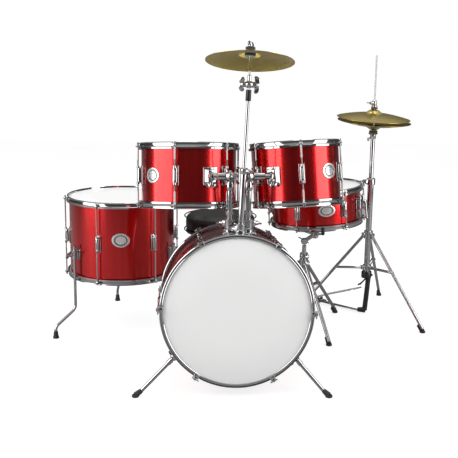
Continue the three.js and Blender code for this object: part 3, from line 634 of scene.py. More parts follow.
def badge(drum, angle, z=0.0, size=(24 * MM, 19 * MM)):
    """A blank oval plate with a raised rim, bent to the shell."""
    bm = bmesh.new()
    steps, rows = 40, [(0.0, 1.0), (0.62, 1.0), (0.74, 0.9), (0.82, 1.7), (0.92, 1.9), (1.0, 1.3), (1.0, 0.0)]
    rings = []
    for share, lift in rows:
        ring = []
        for i in range(steps if share else 1):
            t = 2 * math.pi * i / steps
            x, y = size[0] * share * math.cos(t), size[1] * share * math.sin(t)
            turn = angle + math.degrees(x / drum.radius)
            ring.append(bm.verts.new(polar(drum.radius + 0.1 * MM + lift * MM * 0.7, turn, z + y)))
        rings.append(ring)
    for k, (a, b) in enumerate(zip(rings, rings[1:])):
        for i in range(steps):
            j = (i + 1) % steps
            quad = [a[i % len(a)], b[i], b[j], a[j % len(a)]]
            bm.faces.new(list(dict.fromkeys(quad))).material_index = 1 if k == 1 else 0
    bm.faces.new(rings[-1][::-1])
    piece(f"{drum.name}_blank_badge", bm, [SILVER, BLACK_PLASTIC], drum.body, drum.m)


def whole_drum(name, body, lug_angles, rise=7 * MM, bass=False):
    drum = Drum(name, body, lug_angles, rise)
    shell(drum)
    lugs(drum)
    for side in ("batter", "resonant"):
        head(drum, side)
        hoop(drum, side, bass)
    return drum


bass = whole_drum("bass", "root", [2, 62, 122, 182, 242, 302], 6 * MM, True)
left_tom = whole_drum("left_tom", "left_tom", [-166, -106, -46, 14, 74, 134])
right_tom = whole_drum("right_tom", "right_tom", [-151, -91, -31, 29, 89, 149])
floor_tom = whole_drum("floor_tom", "root", [-172, -112, -52, 8, 68, 128])
snare = whole_drum("snare", "snare", [-183, -123, -63, -3, 57, 117])
vent(bass, -90)
vent(left_tom, 104)
vent(right_tom, 119)
vent(floor_tom, 38)
vent(snare, 87)
badge(left_tom, -139, 0, (25 * MM, 21 * MM))
badge(right_tom, -50, 4 * MM, (25 * MM, 21 * MM))
badge(floor_tom, -88, 14 * MM, (29 * MM, 23 * MM))
badge(snare, -86, 2 * MM, (28 * MM, 19 * MM))


# ------------------------------------------------------------------ bass drum spurs and mount
def rubber_foot(bm, ground, r=10 * MM, height=24 * MM, lean=Z, material=0):
    """Flared rubber crutch tip standing on the floor."""
    m = Matrix.Translation(ground)
    top = ground + lean.normalized() * height
    lathe(bm, [(0, 0), (r - 1 * MM, 0), (r, 1.2 * MM), (r * 0.98, 5 * MM), (r * 0.86, 7 * MM), (0, 7 * MM)], m, 28, material)
    bar(bm, ground + Z * 5 * MM, top, r * 0.86, r * 0.66, 24, 1.0 * MM, material)


for side, foot in (("left", (-298, -9)), ("right", (255, -26))):
    hinge = pivot(f"{side}_spur_fold")
    low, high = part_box(f"{side}_spur")
    tip_x = low.x + 10 * MM if side == "left" else high.x - 10 * MM
    ground = Vector((tip_x, low.y + 10 * MM, 0))
    toward = (hinge - ground).normalized()
    bm = bmesh.new()
    bar(bm, hinge - toward * 4 * MM, ground + toward * 10 * MM, 5.5 * MM, sides=28)
    lathe(bm, [(0, -9 * MM), (6 * MM, -9 * MM), (9 * MM, -6 * MM), (9 * MM, 6 * MM), (6 * MM, 9 * MM), (0, 9 * MM)],
          along(hinge, hinge + Vector(joint(f"{side}_spur_fold")["axis"])), 28)
    bar(bm, hinge - toward * 10 * MM, hinge - toward * 26 * MM, 7.4 * MM, 7.0 * MM, 24, 1.4 * MM)
    piece(f"{side}_spur_tube", bm, CHROME, f"{side}_spur", replaces=f"{side}_spur", bevel=0.0)
    bm = bmesh.new()
    rubber_foot(bm, ground, 10 * MM, 24 * MM, toward)
    piece(f"{side}_spur_rubber", bm, RUBBER, f"{side}_spur")
    spread = joint(f"{side}_spur_fold")["axis"]
    bm = bmesh.new()
    out = ((hinge - bass.m.translation) - (hinge - bass.m.translation).dot(bass.m.col[2].to_3d()) * bass.m.col[2].to_3d()).normalized()
    wall = hinge - out * 15 * MM
    bar(bm, wall - out * 1 * MM, wall + out * 3 * MM, 15 * MM, sides=40, edge=1.2 * MM)
    bar(bm, wall + out * 2 * MM, wall + out * 6 * MM, 11.5 * MM, 9 * MM, 36, 1.2 * MM)
    bolt = along(hinge + Vector(spread) * 10 * MM, hinge + Vector(spread) * 20 * MM)
    wing_bolt(bm, bolt, 0.9, 8 * MM)
    piece(f"{side}_spur_bracket", bm, CHROME, "root")


def socket(bm, x, y, low, high, bore, turn):
    """A clamp socket: two collars, a split lug and its wing bolt."""
    m = Matrix.Translation((x, y, 0))
    r = bore + 4.6 * MM
    lathe(bm, [(bore + 0.3 * MM, low), (r + 1.5 * MM, low), (r + 1.5 * MM, low + 8 * MM), (r, low + 10 * MM),
               (r, high - 9 * MM), (r + 1.2 * MM, high - 8 * MM), (r + 1.2 * MM, high - 1 * MM), (r, high),
               (bore + 0.3 * MM, high)], m, 36)
    out = polar(r + 3 * MM, turn)
    slab(bm, (12 * MM, 10 * MM, 16 * MM), turned(turn, Vector((x, y, high - 14 * MM)) + out), 2.2 * MM)
    start = Vector((x, y, high - 14 * MM)) + polar(r + 8 * MM, turn)
    wing_bolt(bm, along(start, start + polar(10 * MM, turn)), 1.1, 8 * MM)


posts = {side: centre_of(f"{side}_tom_post") for side in ("left", "right")}
crash_axis = Vector(joint("crash_height")["axis"]).normalized()
tilter_at = pivot("crash_tilt")


def on_crash(drop):
    """A point on the crash stand's axis, a drop below its tilter."""
    return tilter_at - crash_axis * drop


mount_low, mount_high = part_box("tom_mount_block")
socket_top = mount_low.z + 41 * MM
bm = bmesh.new()
slab(bm, (mount_high.x - mount_low.x, mount_high.y - mount_low.y, 7 * MM),
     Matrix.Translation(((mount_low.x + mount_high.x) / 2, (mount_low.y + mount_high.y) / 2, mount_low.z + 4 * MM)), 3 * MM, 4)
for x, y in ((-1, -1), (1, -1), (-1, 1), (1, 1)):
    corner = Vector((mount_high.x if x > 0 else mount_low.x, mount_high.y if y > 0 else mount_low.y, 0))
    spot = corner - Vector((x * 9 * MM, y * 9 * MM, -(mount_low.z + 7 * MM)))
    lathe(bm, [(0, 0), (4.6 * MM, 0), (4.2 * MM, 1.6 * MM), (2.4 * MM, 2.8 * MM), (0, 3 * MM)], Matrix.Translation(spot), 20)
socket(bm, posts["left"].x, posts["left"].y, mount_low.z + 6 * MM, socket_top, 8 * MM, 150)
socket(bm, posts["right"].x, posts["right"].y, mount_low.z + 6 * MM, socket_top, 8 * MM, 20)
foot = on_crash(396 * MM)
socket(bm, foot.x, foot.y, mount_low.z + 6 * MM, socket_top - 8 * MM, 9 * MM, -150)
piece("tom_mount_casting", bm, CHROME, "root", replaces="tom_mount_block")

bm = bmesh.new()
pipe(bm, on_crash(392 * MM), on_crash(222 * MM), 8.5 * MM, 5.2 * MM, 32)
lathe(bm, [(5.2 * MM, 0), (10.4 * MM, 0), (11 * MM, 2 * MM), (11 * MM, 14 * MM), (9.6 * MM, 16 * MM), (5.2 * MM, 16 * MM)],
      along(on_crash(238 * MM), on_crash(200 * MM)), 32)
knob = on_crash(230 * MM)
wing_bolt(bm, along(knob + polar(11 * MM, -40), knob + polar(22 * MM, -40)), 1.0, 6 * MM)
piece("crash_lower_tube", bm, CHROME, "root")
bm = bmesh.new()
lathe(bm, [(0, 0), (9.2 * MM, 0), (9.2 * MM, 14 * MM), (0, 14 * MM)], along(on_crash(406 * MM), on_crash(300 * MM)), 32)
piece("crash_tube_plug", bm, BLACK_PLASTIC, "root")


# ------------------------------------------------------------------ tom posts, ratchets and arms
def toothed(bm, m, r, height, teeth=28):
    """A ratchet disc with radial teeth round its rim."""
    for z, flip in ((0, True), (height, False)):
        ring = [bm.verts.new(m @ polar(r - (0.7 * MM if i % 2 else 0), 180 * i / teeth, z)) for i in range(2 * teeth)]
        bm.faces.new(ring[::-1] if flip else ring)
        if flip:
            first = ring
    for i in range(2 * teeth):
        j = (i + 1) % (2 * teeth)
        bm.faces.new((first[i], first[j], ring[j], ring[i]))


PLATE_ANGLE = {"left": -66, "right": -128}
for side, drum, sign in (("left", left_tom, -1), ("right", right_tom, 1)):
    low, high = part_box(f"{side}_tom_post")
    middle = posts[side]
    bm = bmesh.new()
    bar(bm, Vector((middle.x, middle.y, low.z)), Vector((middle.x, middle.y, high.z)), 8 * MM, sides=36, edge=1 * MM)
    collar_z = socket_top + 11 * MM
    lathe(bm, [(7 * MM, collar_z), (11.5 * MM, collar_z), (12 * MM, collar_z + 1.5 * MM), (12 * MM, collar_z + 9 * MM),
               (11 * MM, collar_z + 10 * MM), (7 * MM, collar_z + 10 * MM)], Matrix.Translation((middle.x, middle.y, 0)), 36)
    piece(f"{side}_post_tube", bm, CHROME, f"{side}_tom_post", replaces=f"{side}_tom_post")

    hub = pivot(f"{side}_tom_tilt")
    inner, outer = hub - X * sign * 0.2 * MM, hub + X * sign * 0.5 * MM
    bm = bmesh.new()
    bar(bm, inner, inner - X * sign * 10.5 * MM, 14.4 * MM, 11.6 * MM, 36, 2.2 * MM)
    toothed(bm, along(inner, inner - X * sign), 14.9 * MM, 2.6 * MM)
    lathe(bm, [(0, high.z + 0.4 * MM), (10.4 * MM, high.z + 0.4 * MM), (11 * MM, high.z + 2 * MM),
               (10.4 * MM, high.z + 16 * MM), (8.5 * MM, high.z + 24 * MM), (0, high.z + 27 * MM)],
          Matrix.Translation((middle.x, middle.y, 0)), 36)
    nut = inner - X * sign * 10 * MM
    wing_bolt(bm, along(nut, nut - X * sign * 10 * MM) @ Matrix.Rotation(math.radians(65), 4, "Z"), 0.78, 1 * MM)
    piece(f"{side}_ratchet_head", bm, CHROME, f"{side}_tom_ratchet", replaces=f"{side}_tom_ratchet")

    plate_m = drum.m @ on_shell(drum.radius, PLATE_ANGLE[side], -2 * MM)
    clamp = plate_m @ Vector((0, 0, 20 * MM))
    bm = bmesh.new()
    bar(bm, outer, outer + X * sign * 11 * MM, 14.4 * MM, 12 * MM, 36, 2.2 * MM)
    toothed(bm, along(outer, outer + X * sign), 14.9 * MM, 2.6 * MM)
    elbow = outer + X * sign * 9 * MM
    sweep(bm, rounded([elbow, elbow.lerp(clamp, 0.5), clamp], 10 * MM), 5.6 * MM, 20)
    bar(bm, elbow.lerp(clamp, 0.05), elbow.lerp(clamp, 0.7), 11 * MM, 9.8 * MM, 32, 1.6 * MM)
    piece(f"{side}_tom_l_arm", bm, CHROME, f"{side}_tom", replaces=f"{side}_tom_arm")

    bm = bmesh.new()
    slab(bm, (42 * MM, 50 * MM, 3 * MM), Matrix.Translation((0, 0, 2.2 * MM)), 1.4 * MM, 3)
    wedge = bmesh.ops.create_cube(bm, size=1, matrix=Matrix.Translation((0, 0, 9 * MM)) @ Matrix.Diagonal((36 * MM, 40 * MM, 13 * MM, 1)))
    for v in wedge["verts"]:
        if v.co.z > 9 * MM:
            v.co.x *= 0.62
            v.co.y *= 0.84
    bmesh.ops.bevel(bm, geom=list({e for v in wedge["verts"] for e in v.link_edges}), offset=1.6 * MM, segments=3,
                    profile=0.5, affect="EDGES")
    for end in (-1, 1):
        lathe(bm, [(0, 0), (3.8 * MM, 0), (3.6 * MM, 1.5 * MM), (1.8 * MM, 2.6 * MM), (0, 2.8 * MM)],
              Matrix.Translation((0, end * 22.4 * MM, 3.6 * MM)), 18)
    lathe(bm, [(5.9 * MM, 0), (13 * MM, 0), (13 * MM, 2 * MM), (11.6 * MM, 8 * MM), (5.9 * MM, 8 * MM)],
          Matrix.Translation((0, 0, 14 * MM)), 36)
    wing_bolt(bm, Matrix.Translation((0, -16 * MM, 9 * MM)) @ Matrix.Rotation(math.radians(90), 4, "X"), 0.95, 3 * MM)
    piece(f"{side}_tom_bracket", bm, CHROME, f"{side}_tom", plate_m)


# ------------------------------------------------------------------ cymbals and their fittings
CYMBAL = {"bell": 34 * MM, "bell_height": 13 * MM, "bow": 16 * MM, "hole": 5.5 * MM}


def cymbal(name, node_name, body, m, radius=127 * MM):
    """Bell, shoulder and gently bowed plate, thinning to a rolled edge."""
    c = CYMBAL

    def under(r):
        if r < c["bell"]:
            share = (r - c["hole"]) / (c["bell"] - c["hole"])
            return -c["bell_height"] * (0.5 - 0.5 * math.cos(math.pi * share ** 1.25))
        share = (r - c["bell"]) / (radius - c["bell"])
        return -c["bell_height"] - c["bow"] * share ** 1.5

    radii = [c["hole"] + (c["bell"] - c["hole"]) * i / 12 for i in range(12)]
    radii += [c["bell"] + (radius - c["bell"]) * i / 16 for i in range(17)]
    bottom = [(r, under(r) + 0.3 * MM) for r in radii]
    top = [(r, under(r) + 1.5 * MM - 0.5 * MM * r / radius) for r in reversed(radii)]
    bm = bmesh.new()
    lathe(bm, bottom + top, sides=144)
    return piece(name, bm, BRONZE, body, m, node_name, sharp=50)


def felt_stack(bm, m, low, r=13 * MM, height=8 * MM, hole=3.2 * MM, material=0):
    lathe(bm, [(hole, low), (r - 2 * MM, low), (r, low + 2 * MM), (r, low + height - 2 * MM),
               (r - 2 * MM, low + height), (hole, low + height)], m, 40, material)


spin = joint("crash_cymbal_spin")
crash_m = axis_frame(Vector(spin["pos_m"]), Vector(spin["axis"]))
cymbal("crash_plate", "crash_cymbal", "crash_cymbal", crash_m, 119 * MM)

bm = bmesh.new()
bar(bm, on_crash(301 * MM), on_crash(13 * MM), 4.5 * MM, sides=28)
piece("crash_upper_rod", bm, CHROME, "crash_rod", replaces="crash_rod")
bm = bmesh.new()
lathe(bm, [(4.4 * MM, 0), (6.6 * MM, 0), (7.4 * MM, 2 * MM), (7.4 * MM, 28 * MM), (6.4 * MM, 30 * MM), (4.4 * MM, 30 * MM)],
      along(on_crash(43 * MM), tilter_at), 28)
piece("crash_rod_sleeve", bm, BLACK_PLASTIC, "crash_rod")

tilt_axis = Vector(joint("crash_tilt")["axis"]).normalized()
stem_axis = Vector(spin["axis"]).normalized()
bm = bmesh.new()
for sign in (-1, 1):
    start = tilter_at + tilt_axis * sign * 1.0 * MM
    bar(bm, start, start + tilt_axis * sign * 8 * MM, 10 * MM, 8.4 * MM, 32, 1.2 * MM)
    toothed(bm, along(start, start + tilt_axis * sign), 10.3 * MM, 2 * MM, 24)
knob = tilter_at + tilt_axis * 9 * MM
wing_bolt(bm, along(knob, knob + tilt_axis) @ Matrix.Rotation(math.radians(80), 4, "Z"), 1.3, 4 * MM)
back_nut = tilter_at - tilt_axis * 9 * MM
wing_bolt(bm, along(back_nut, back_nut - tilt_axis) @ Matrix.Rotation(math.radians(70), 4, "Z"), 1.15, 4 * MM)
bar(bm, tilter_at, tilter_at + stem_axis * 26 * MM, 6.2 * MM, 4.8 * MM, 24, 1 * MM)
bar(bm, tilter_at, tilter_at + stem_axis * 115 * MM, 2.9 * MM, sides=20)
cup = axis_frame(tilter_at, stem_axis)
lathe(bm, [(3 * MM, 74 * MM), (12 * MM, 74 * MM), (13 * MM, 75 * MM), (12 * MM, 76 * MM), (3 * MM, 76 * MM)], cup, 40)
wing_bolt(bm, cup @ Matrix.Translation((0, 0, 101 * MM)) @ Matrix.Rotation(math.radians(55), 4, "Z"), 0.95, 2 * MM)
piece("crash_tilter_head", bm, CHROME, "crash_tilter", replaces="crash_tilter")
bm = bmesh.new()
felt_stack(bm, cup, 76.4 * MM, 15 * MM, 12 * MM)
felt_stack(bm, cup, 93 * MM, 13.5 * MM, 7.5 * MM)
piece("crash_felts", bm, FELT, "crash_tilter")


# ------------------------------------------------------------------ floor tom legs
LEG = {"offset": 14 * MM, "bend": 87 * MM, "foot_top": 38 * MM, "reach": 267 * MM, "radius": 4.8 * MM}
axis = floor_tom.m.translation.copy()
axis.z = 0
for i, angle in enumerate((-142, -22, 98), 1):
    node_name = f"floor_tom_leg_{i}"
    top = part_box(node_name)[1].z
    run = floor_tom.radius + LEG["offset"]
    path = [polar(run, angle, top), polar(run, angle, LEG["bend"]), polar(LEG["reach"], angle, LEG["foot_top"]),
            polar(LEG["reach"], angle, 9 * MM)]
    bm = bmesh.new()
    sweep(bm, rounded([axis + p for p in path], 16 * MM, 8), LEG["radius"], 20)
    piece(f"{node_name}_rod", bm, CHROME, node_name, replaces=node_name)
    bm = bmesh.new()
    rubber_foot(bm, axis + polar(LEG["reach"], angle), 10 * MM, 24 * MM)
    piece(f"{node_name}_rubber", bm, RUBBER, node_name)
    bm = bmesh.new()
    m = Matrix.Translation(axis) @ on_shell(floor_tom.radius, angle, 272 * MM)
    slab(bm, (30 * MM, 34 * MM, 3 * MM), m @ Matrix.Translation((0, 0, 1.4 * MM)), 1.3 * MM)
    slab(bm, (18 * MM, 28 * MM, 8 * MM), m @ Matrix.Translation((0, 0, 5 * MM)), 2.4 * MM)
    pipe(bm, m @ Vector((0, -14 * MM, LEG["offset"])), m @ Vector((0, 14 * MM, LEG["offset"])), 9 * MM, 5.1 * MM, 32)
    bolt = m @ Matrix.Translation((0, 0, LEG["offset"] + 9 * MM))
    bar(bm, bolt @ Vector((0, 0, -1 * MM)), bolt @ Vector((0, 0, 5 * MM)), 5.2 * MM, 4.8 * MM, 20)
    wing_bolt(bm, bolt @ Matrix.Translation((0, 0, 4 * MM)) @ Matrix.Rotation(math.radians(50), 4, "Z"), 1.1, 3 * MM)
    piece(f"{node_name}_bracket", bm, CHROME, "root")


# ------------------------------------------------------------------ tripods
def tripod(name, body, node_name, at, bore, collar_z, brace_z, reach, angles, leg_r):
    """Collar with hinged tube legs, braced by paired strips from a lower hub."""
    wall = 5 * MM
    m = Matrix.Translation(at)
    r = bore + wall
    bm = bmesh.new()
    lathe(bm, [(bore, collar_z - 14 * MM), (r - 1 * MM, collar_z - 14 * MM), (r, collar_z - 12.5 * MM),
               (r, collar_z + 12.5 * MM), (r - 1 * MM, collar_z + 14 * MM), (bore, collar_z + 14 * MM)], m, 36)
    lathe(bm, [(bore, brace_z - 9 * MM), (r - 1.4 * MM, brace_z - 9 * MM), (r - 0.6 * MM, brace_z - 8 * MM),
               (r - 0.6 * MM, brace_z + 8 * MM), (r - 1.4 * MM, brace_z + 9 * MM), (bore, brace_z + 9 * MM)], m, 36)
    tips = bmesh.new()
    for angle in angles:
        place = turned(angle, at)
        start = Vector((r - 1 * MM, 0, collar_z))
        foot = Vector((reach, 0, 12 * MM))
        slope = (foot - start).normalized()
        middle = start.lerp(foot, (collar_z - brace_z - 4 * MM) / (collar_z - 12 * MM))
        bar(bm, place @ (start + slope * 4 * MM), place @ foot, leg_r, leg_r, 24)
        for z, out in ((collar_z, 3 * MM), (brace_z, 2.4 * MM)):
            slab(bm, (9 * MM, 2 * leg_r + 5 * MM, 13 * MM), place @ Matrix.Translation((r + out, 0, z)), 2 * MM)
            bar(bm, place @ Vector((r + out + 1 * MM, -leg_r - 4.4 * MM, z)),
                place @ Vector((r + out + 1 * MM, leg_r + 4.4 * MM, z)), 3 * MM, sides=18)
        hub = Vector((r + 1 * MM, 0, brace_z))
        for side in (-1, 1):
            shift = Vector((0, side * (leg_r - 0.6 * MM), 0))
            p, q = place @ (hub + shift), place @ (middle + shift)
            strip = along(p, q) @ Matrix.Translation((0, 0, (q - p).length / 2))
            slab(bm, (1.6 * MM, 7 * MM, (q - p).length + 8 * MM), strip, 0.6 * MM, 2)
        bar(bm, place @ (middle + Y * -(leg_r + 3.4 * MM)), place @ (middle + Y * (leg_r + 3.4 * MM)), 2.8 * MM, sides=18)
        rubber_foot(tips, place @ Vector((reach, 0, 0)), 10 * MM, 30 * MM, (place.to_3x3() @ -slope))
    legs = piece(f"{name}_legs", bm, CHROME, body, replaces=node_name)
    piece(f"{name}_rubber_tips", tips, RUBBER, body)
    return legs


def clamp_collar(name, body, at, bore, r, low, high, turn):
    """Chrome tube clamp with a hinge plate and wing bolt."""
    bm = bmesh.new()
    lathe(bm, [(bore, low), (r - 1 * MM, low), (r, low + 1.5 * MM), (r, high - 3 * MM), (r - 2 * MM, high), (bore, high)],
          Matrix.Translation(at), 36)
    out = polar(r + 2 * MM, turn)
    middle = (low + high) / 2
    slab(bm, (9 * MM, 9 * MM, (high - low) * 0.72), turned(turn, at + out + Z * middle), 2 * MM)
    start = at + polar(r + 6 * MM, turn) + Z * middle
    across = Vector(polar(1, turn + 90))
    wing_bolt(bm, along(start - across * 5 * MM, start - across * 6 * MM), 1.15, 12 * MM)
    return piece(name, bm, CHROME, body)


# ------------------------------------------------------------------ snare stand
kit_shift = centre_of("hihat_lower_tube") - Vector((521 * MM, 731 * MM, 0))
kit_shift.z = 0


def placed(x, y, z=0.0):
    return Vector((x * MM, y * MM, z * MM)) + kit_shift


snare_at = centre_of("snare_stand_lower_tube")
low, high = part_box("snare_stand_lower_tube")
snare_at.z = 0
bm = bmesh.new()
pipe(bm, snare_at + Z * low.z, snare_at + Z * (high.z - 1 * MM), 10 * MM, 8.2 * MM, 32)
piece("snare_stand_base_tube", bm, CHROME, "root", replaces="snare_stand_lower_tube")
clamp_collar("snare_stand_clamp", "root", snare_at, 8.2 * MM, 14.8 * MM, high.z - 19 * MM, high.z, -60)
tripod("snare_stand", "root", "snare_stand_tripod", snare_at, 10.35 * MM, high.z - 36 * MM, 135 * MM, 211 * MM,
       [46.5, -73.5, 166.5], 6 * MM)
low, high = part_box("snare_stand_upper_tube")
bm = bmesh.new()
bar(bm, snare_at + Z * low.z, snare_at + Z * high.z, 7.5 * MM, sides=32)
piece("snare_stand_sliding_tube", bm, CHROME, "snare_upper_tube", replaces="snare_stand_upper_tube")

tilt_at = pivot("snare_basket_tilt")
hub = placed(306, 597, 325)
rim = snare.radius + 6 * MM
rim_low = -snare.half - 7 * MM
bm = bmesh.new()
tips = bmesh.new()
sweep(bm, rounded([tilt_at, tilt_at.lerp(hub, 0.5) + Z * 2 * MM, hub], 10 * MM), 7 * MM, 20)
tilt_axis = Vector(joint("snare_basket_tilt")["axis"]).normalized()
for sign in (-1, 1):
    start = tilt_at + tilt_axis * sign * 1.5 * MM
    bar(bm, start, start + tilt_axis * sign * 9 * MM, 11.6 * MM, 10 * MM, 32, 1.2 * MM)
    toothed(bm, along(start, start + tilt_axis * sign), 12 * MM, 2 * MM)
knob = tilt_at + tilt_axis * 10 * MM
wing_bolt(bm, along(knob, knob + tilt_axis) @ Matrix.Rotation(math.radians(30), 4, "Z"), 1.25, 4 * MM)
lathe(bm, [(0, -12 * MM), (8 * MM, -12 * MM), (11.5 * MM, -8 * MM), (12 * MM, 5 * MM), (9 * MM, 10 * MM), (0, 11 * MM)],
      Matrix.Translation(hub), 32)
for angle in (-92, 28, 148):
    reach_in = snare.m @ polar(rim - 20 * MM, angle, rim_low - 10 * MM)
    reach_out = snare.m @ polar(rim + 6 * MM, angle, rim_low - 5 * MM)
    end = snare.m @ polar(rim + 6 * MM, angle, rim_low + 14 * MM)
    path = rounded([hub, reach_in, reach_out, end], 12 * MM, 6)
    sweep(bm, path, 3.6 * MM, 16, flat=1.15)
    sweep(tips, rounded([reach_in.lerp(reach_out, 0.45), reach_out, end + (end - reach_out) * 0.04], 9 * MM, 6), 5.0 * MM, 20)
piece("snare_basket_arms", bm, CHROME, "snare", replaces="snare_basket")
piece("snare_basket_rubbers", tips, RUBBER, "snare")

bm = bmesh.new()
strainer = on_shell(snare.radius, -33, -8 * MM)
slab(bm, (30 * MM, 70 * MM, 3 * MM), strainer @ Matrix.Translation((0, 0, 1.6 * MM)), 1.4 * MM)
slab(bm, (22 * MM, 58 * MM, 13 * MM), strainer @ Matrix.Translation((0, 0, 8.5 * MM)), 3.4 * MM, 4)
for x, y in ((-1, -1), (1, -1), (-1, 1), (1, 1)):
    lathe(bm, [(0, 0), (3 * MM, 0), (2.8 * MM, 1.4 * MM), (0, 2.2 * MM)],
          strainer @ Matrix.Translation((x * 12.4 * MM, y * 31 * MM, 3 * MM)), 16)
bar(bm, strainer @ Vector((0, 28 * MM, 9 * MM)), strainer @ Vector((0, 40 * MM, 9 * MM)), 5.6 * MM, 5.2 * MM, 24)
piece("snare_strainer_body", bm, CHROME, "snare", snare.m)
bm = bmesh.new()
for x in (-5, 5):
    lathe(bm, [(0, 0), (2.3 * MM, 0), (2.3 * MM, 0.6 * MM), (0, 0.8 * MM)],
          strainer @ Matrix.Translation((x * MM, -24 * MM, 14.6 * MM)), 16)
slab(bm, (15 * MM, 8 * MM, 2 * MM), strainer @ Matrix.Translation((0, -33 * MM, 15 * MM)), 0.8 * MM)
piece("snare_strainer_screws", bm, BLACK_PAINT, "snare", snare.m)

lever_at = pivot("snare_strainer")
outward = (snare.m.to_3x3() @ polar(1, -33)).normalized()
down = -(snare.m.to_3x3() @ Z).normalized()
bm = bmesh.new()
bar(bm, lever_at - outward * 3.6 * MM, lever_at + outward * 6 * MM, 7.2 * MM, 6.6 * MM, 28, 1.2 * MM)
grip_path = [lever_at + outward * 3 * MM, lever_at + outward * 4 * MM + down * 22 * MM,
             lever_at + outward * 6 * MM + down * 53 * MM]
sweep(bm, rounded(grip_path, 8 * MM), 4.2 * MM, 18)
blob(bm, Matrix.Translation(grip_path[-1]), (5.2 * MM, 5.2 * MM, 5.2 * MM))
piece("snare_lever_arm", bm, CHROME, "snare_lever", replaces="snare_strainer_lever")

# Snare wires: twenty coiled strands across the resonant head, soldered to two end plates.
bm = bmesh.new()
under = -snare.half - 2.6 * MM
for i in range(20):
    across = (i - 9.5) * 2.1 * MM
    span = 112 * MM
    steps = 180
    points = [Vector((span * (2 * k / steps - 1), across + 0.8 * MM * math.cos(k * 1.9), under - 0.9 * MM
                      + 0.8 * MM * math.sin(k * 1.9))) for k in range(steps + 1)]
    turn = Matrix.Rotation(math.radians(-33), 4, "Z")
    sweep(bm, [turn @ p for p in points], 0.28 * MM, 4)
for side in (-1, 1):
    plate = Matrix.Rotation(math.radians(-33), 4, "Z") @ Matrix.Translation((side * 114 * MM, 0, under - 0.6 * MM))
    slab(bm, (10 * MM, 46 * MM, 1.6 * MM), plate, 0.6 * MM)
    slab(bm, (24 * MM, 22 * MM, 0.6 * MM), plate @ Matrix.Translation((side * 15 * MM, 0, 0)), 0.25 * MM)
piece("snare_wires", bm, STEEL, "snare", snare.m, sharp=0)


# ------------------------------------------------------------------ hi-hat stand
hat_at = placed(521, 731)
tube_low, tube_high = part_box("hihat_lower_tube")
bm = bmesh.new()
pipe(bm, hat_at + Z * tube_low.z, hat_at + Z * (tube_high.z - 1 * MM), 10.5 * MM, 8.2 * MM, 32)
piece("hihat_base_tube", bm, CHROME, "root", replaces="hihat_lower_tube")
clamp_collar("hihat_height_clamp", "root", hat_at, 8.2 * MM, 15.2 * MM, tube_high.z - 23 * MM, tube_high.z, 200)
tripod("hihat", "root", "hihat_tripod", hat_at, 10.85 * MM, 297 * MM, 176 * MM, 264 * MM, [-54.6, 65.4, 185.4], 5.5 * MM)

cup_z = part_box("hihat_upper_tube")[1].z - 14 * MM
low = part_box("hihat_upper_tube")[0].z
bm = bmesh.new()
pipe(bm, hat_at + Z * low, hat_at + Z * (cup_z - 1 * MM), 7.5 * MM, 3.5 * MM, 28)
lathe(bm, [(3.6 * MM, cup_z - 16 * MM), (9 * MM, cup_z - 16 * MM), (10 * MM, cup_z - 14 * MM), (10.4 * MM, cup_z - 2 * MM),
           (15.5 * MM, cup_z + 1 * MM), (16.4 * MM, cup_z + 2.6 * MM), (15.6 * MM, cup_z + 4 * MM), (3.6 * MM, cup_z + 4 * MM)],
      Matrix.Translation(hat_at), 40)
knob = hat_at + Z * (cup_z - 8 * MM)
bar(bm, knob + polar(9 * MM, -140), knob + polar(24 * MM, -140) - Z * 7 * MM, 2.6 * MM, sides=16)
blob(bm, Matrix.Translation(knob + polar(26 * MM, -140) - Z * 8 * MM), (4.6 * MM, 4.6 * MM, 6 * MM))
piece("hihat_upper_tube_and_cup", bm, CHROME, "hihat_upper_tube", replaces="hihat_upper_tube")
bm = bmesh.new()
felt_stack(bm, Matrix.Translation(hat_at), cup_z + 4.4 * MM, 15 * MM, 9.2 * MM, 3.7 * MM)
piece("hihat_cup_felt", bm, FELT, "hihat_upper_tube")

hat_tilt = Matrix.Rotation(math.radians(3.5), 4, "X") @ Matrix.Rotation(math.radians(2.2), 4, "Y")
for name, body in (("bottom", "hihat_upper_tube"), ("top", "hihat_pull_rod")):
    node_name = f"hihat_{name}_cymbal"
    hole = [v for v in vertices_of(node_name) if (v - hat_at).to_2d().length < 9 * MM]
    m = Matrix.Translation(sum(hole, Vector()) / len(hole)) @ hat_tilt
    if name == "bottom":
        m = m @ Matrix.Rotation(math.pi, 4, "X")
    cymbal(f"hihat_{name}_plate", node_name, body, m @ Matrix.Translation((0, 0, -0.9 * MM)))
top_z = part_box("hihat_top_cymbal")[1].z
rod_low, rod_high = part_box("hihat_pull_rod")
bm = bmesh.new()
bar(bm, hat_at + Z * rod_low.z, hat_at + Z * rod_high.z, 2.8 * MM, sides=20)
m = Matrix.Translation(hat_at)
lathe(bm, [(3 * MM, top_z + 9 * MM), (7.6 * MM, top_z + 9 * MM), (8 * MM, top_z + 10 * MM), (8 * MM, top_z + 29 * MM),
           (6.4 * MM, top_z + 31 * MM), (3 * MM, top_z + 31 * MM)], m, 32)
lathe(bm, [(3 * MM, top_z + 8 * MM), (10 * MM, top_z + 8 * MM), (10.4 * MM, top_z + 10 * MM), (9.4 * MM, top_z + 12.5 * MM),
           (3 * MM, top_z + 12.5 * MM)], m, 32)
start = hat_at + Z * (top_z + 22 * MM) + polar(8 * MM, -155)
wing_bolt(bm, along(start, start + polar(10 * MM, -155)), 1.1, 3 * MM)
piece("hihat_pull_rod_and_clutch", bm, CHROME, "hihat_pull_rod", replaces="hihat_pull_rod")
bm = bmesh.new()
felt_stack(bm, m, top_z + 0.4 * MM, 12 * MM, 7.4 * MM, 2.9 * MM)
felt_stack(bm, m, top_z - 11 * MM, 10 * MM, 8.6 * MM, 2.9 * MM)
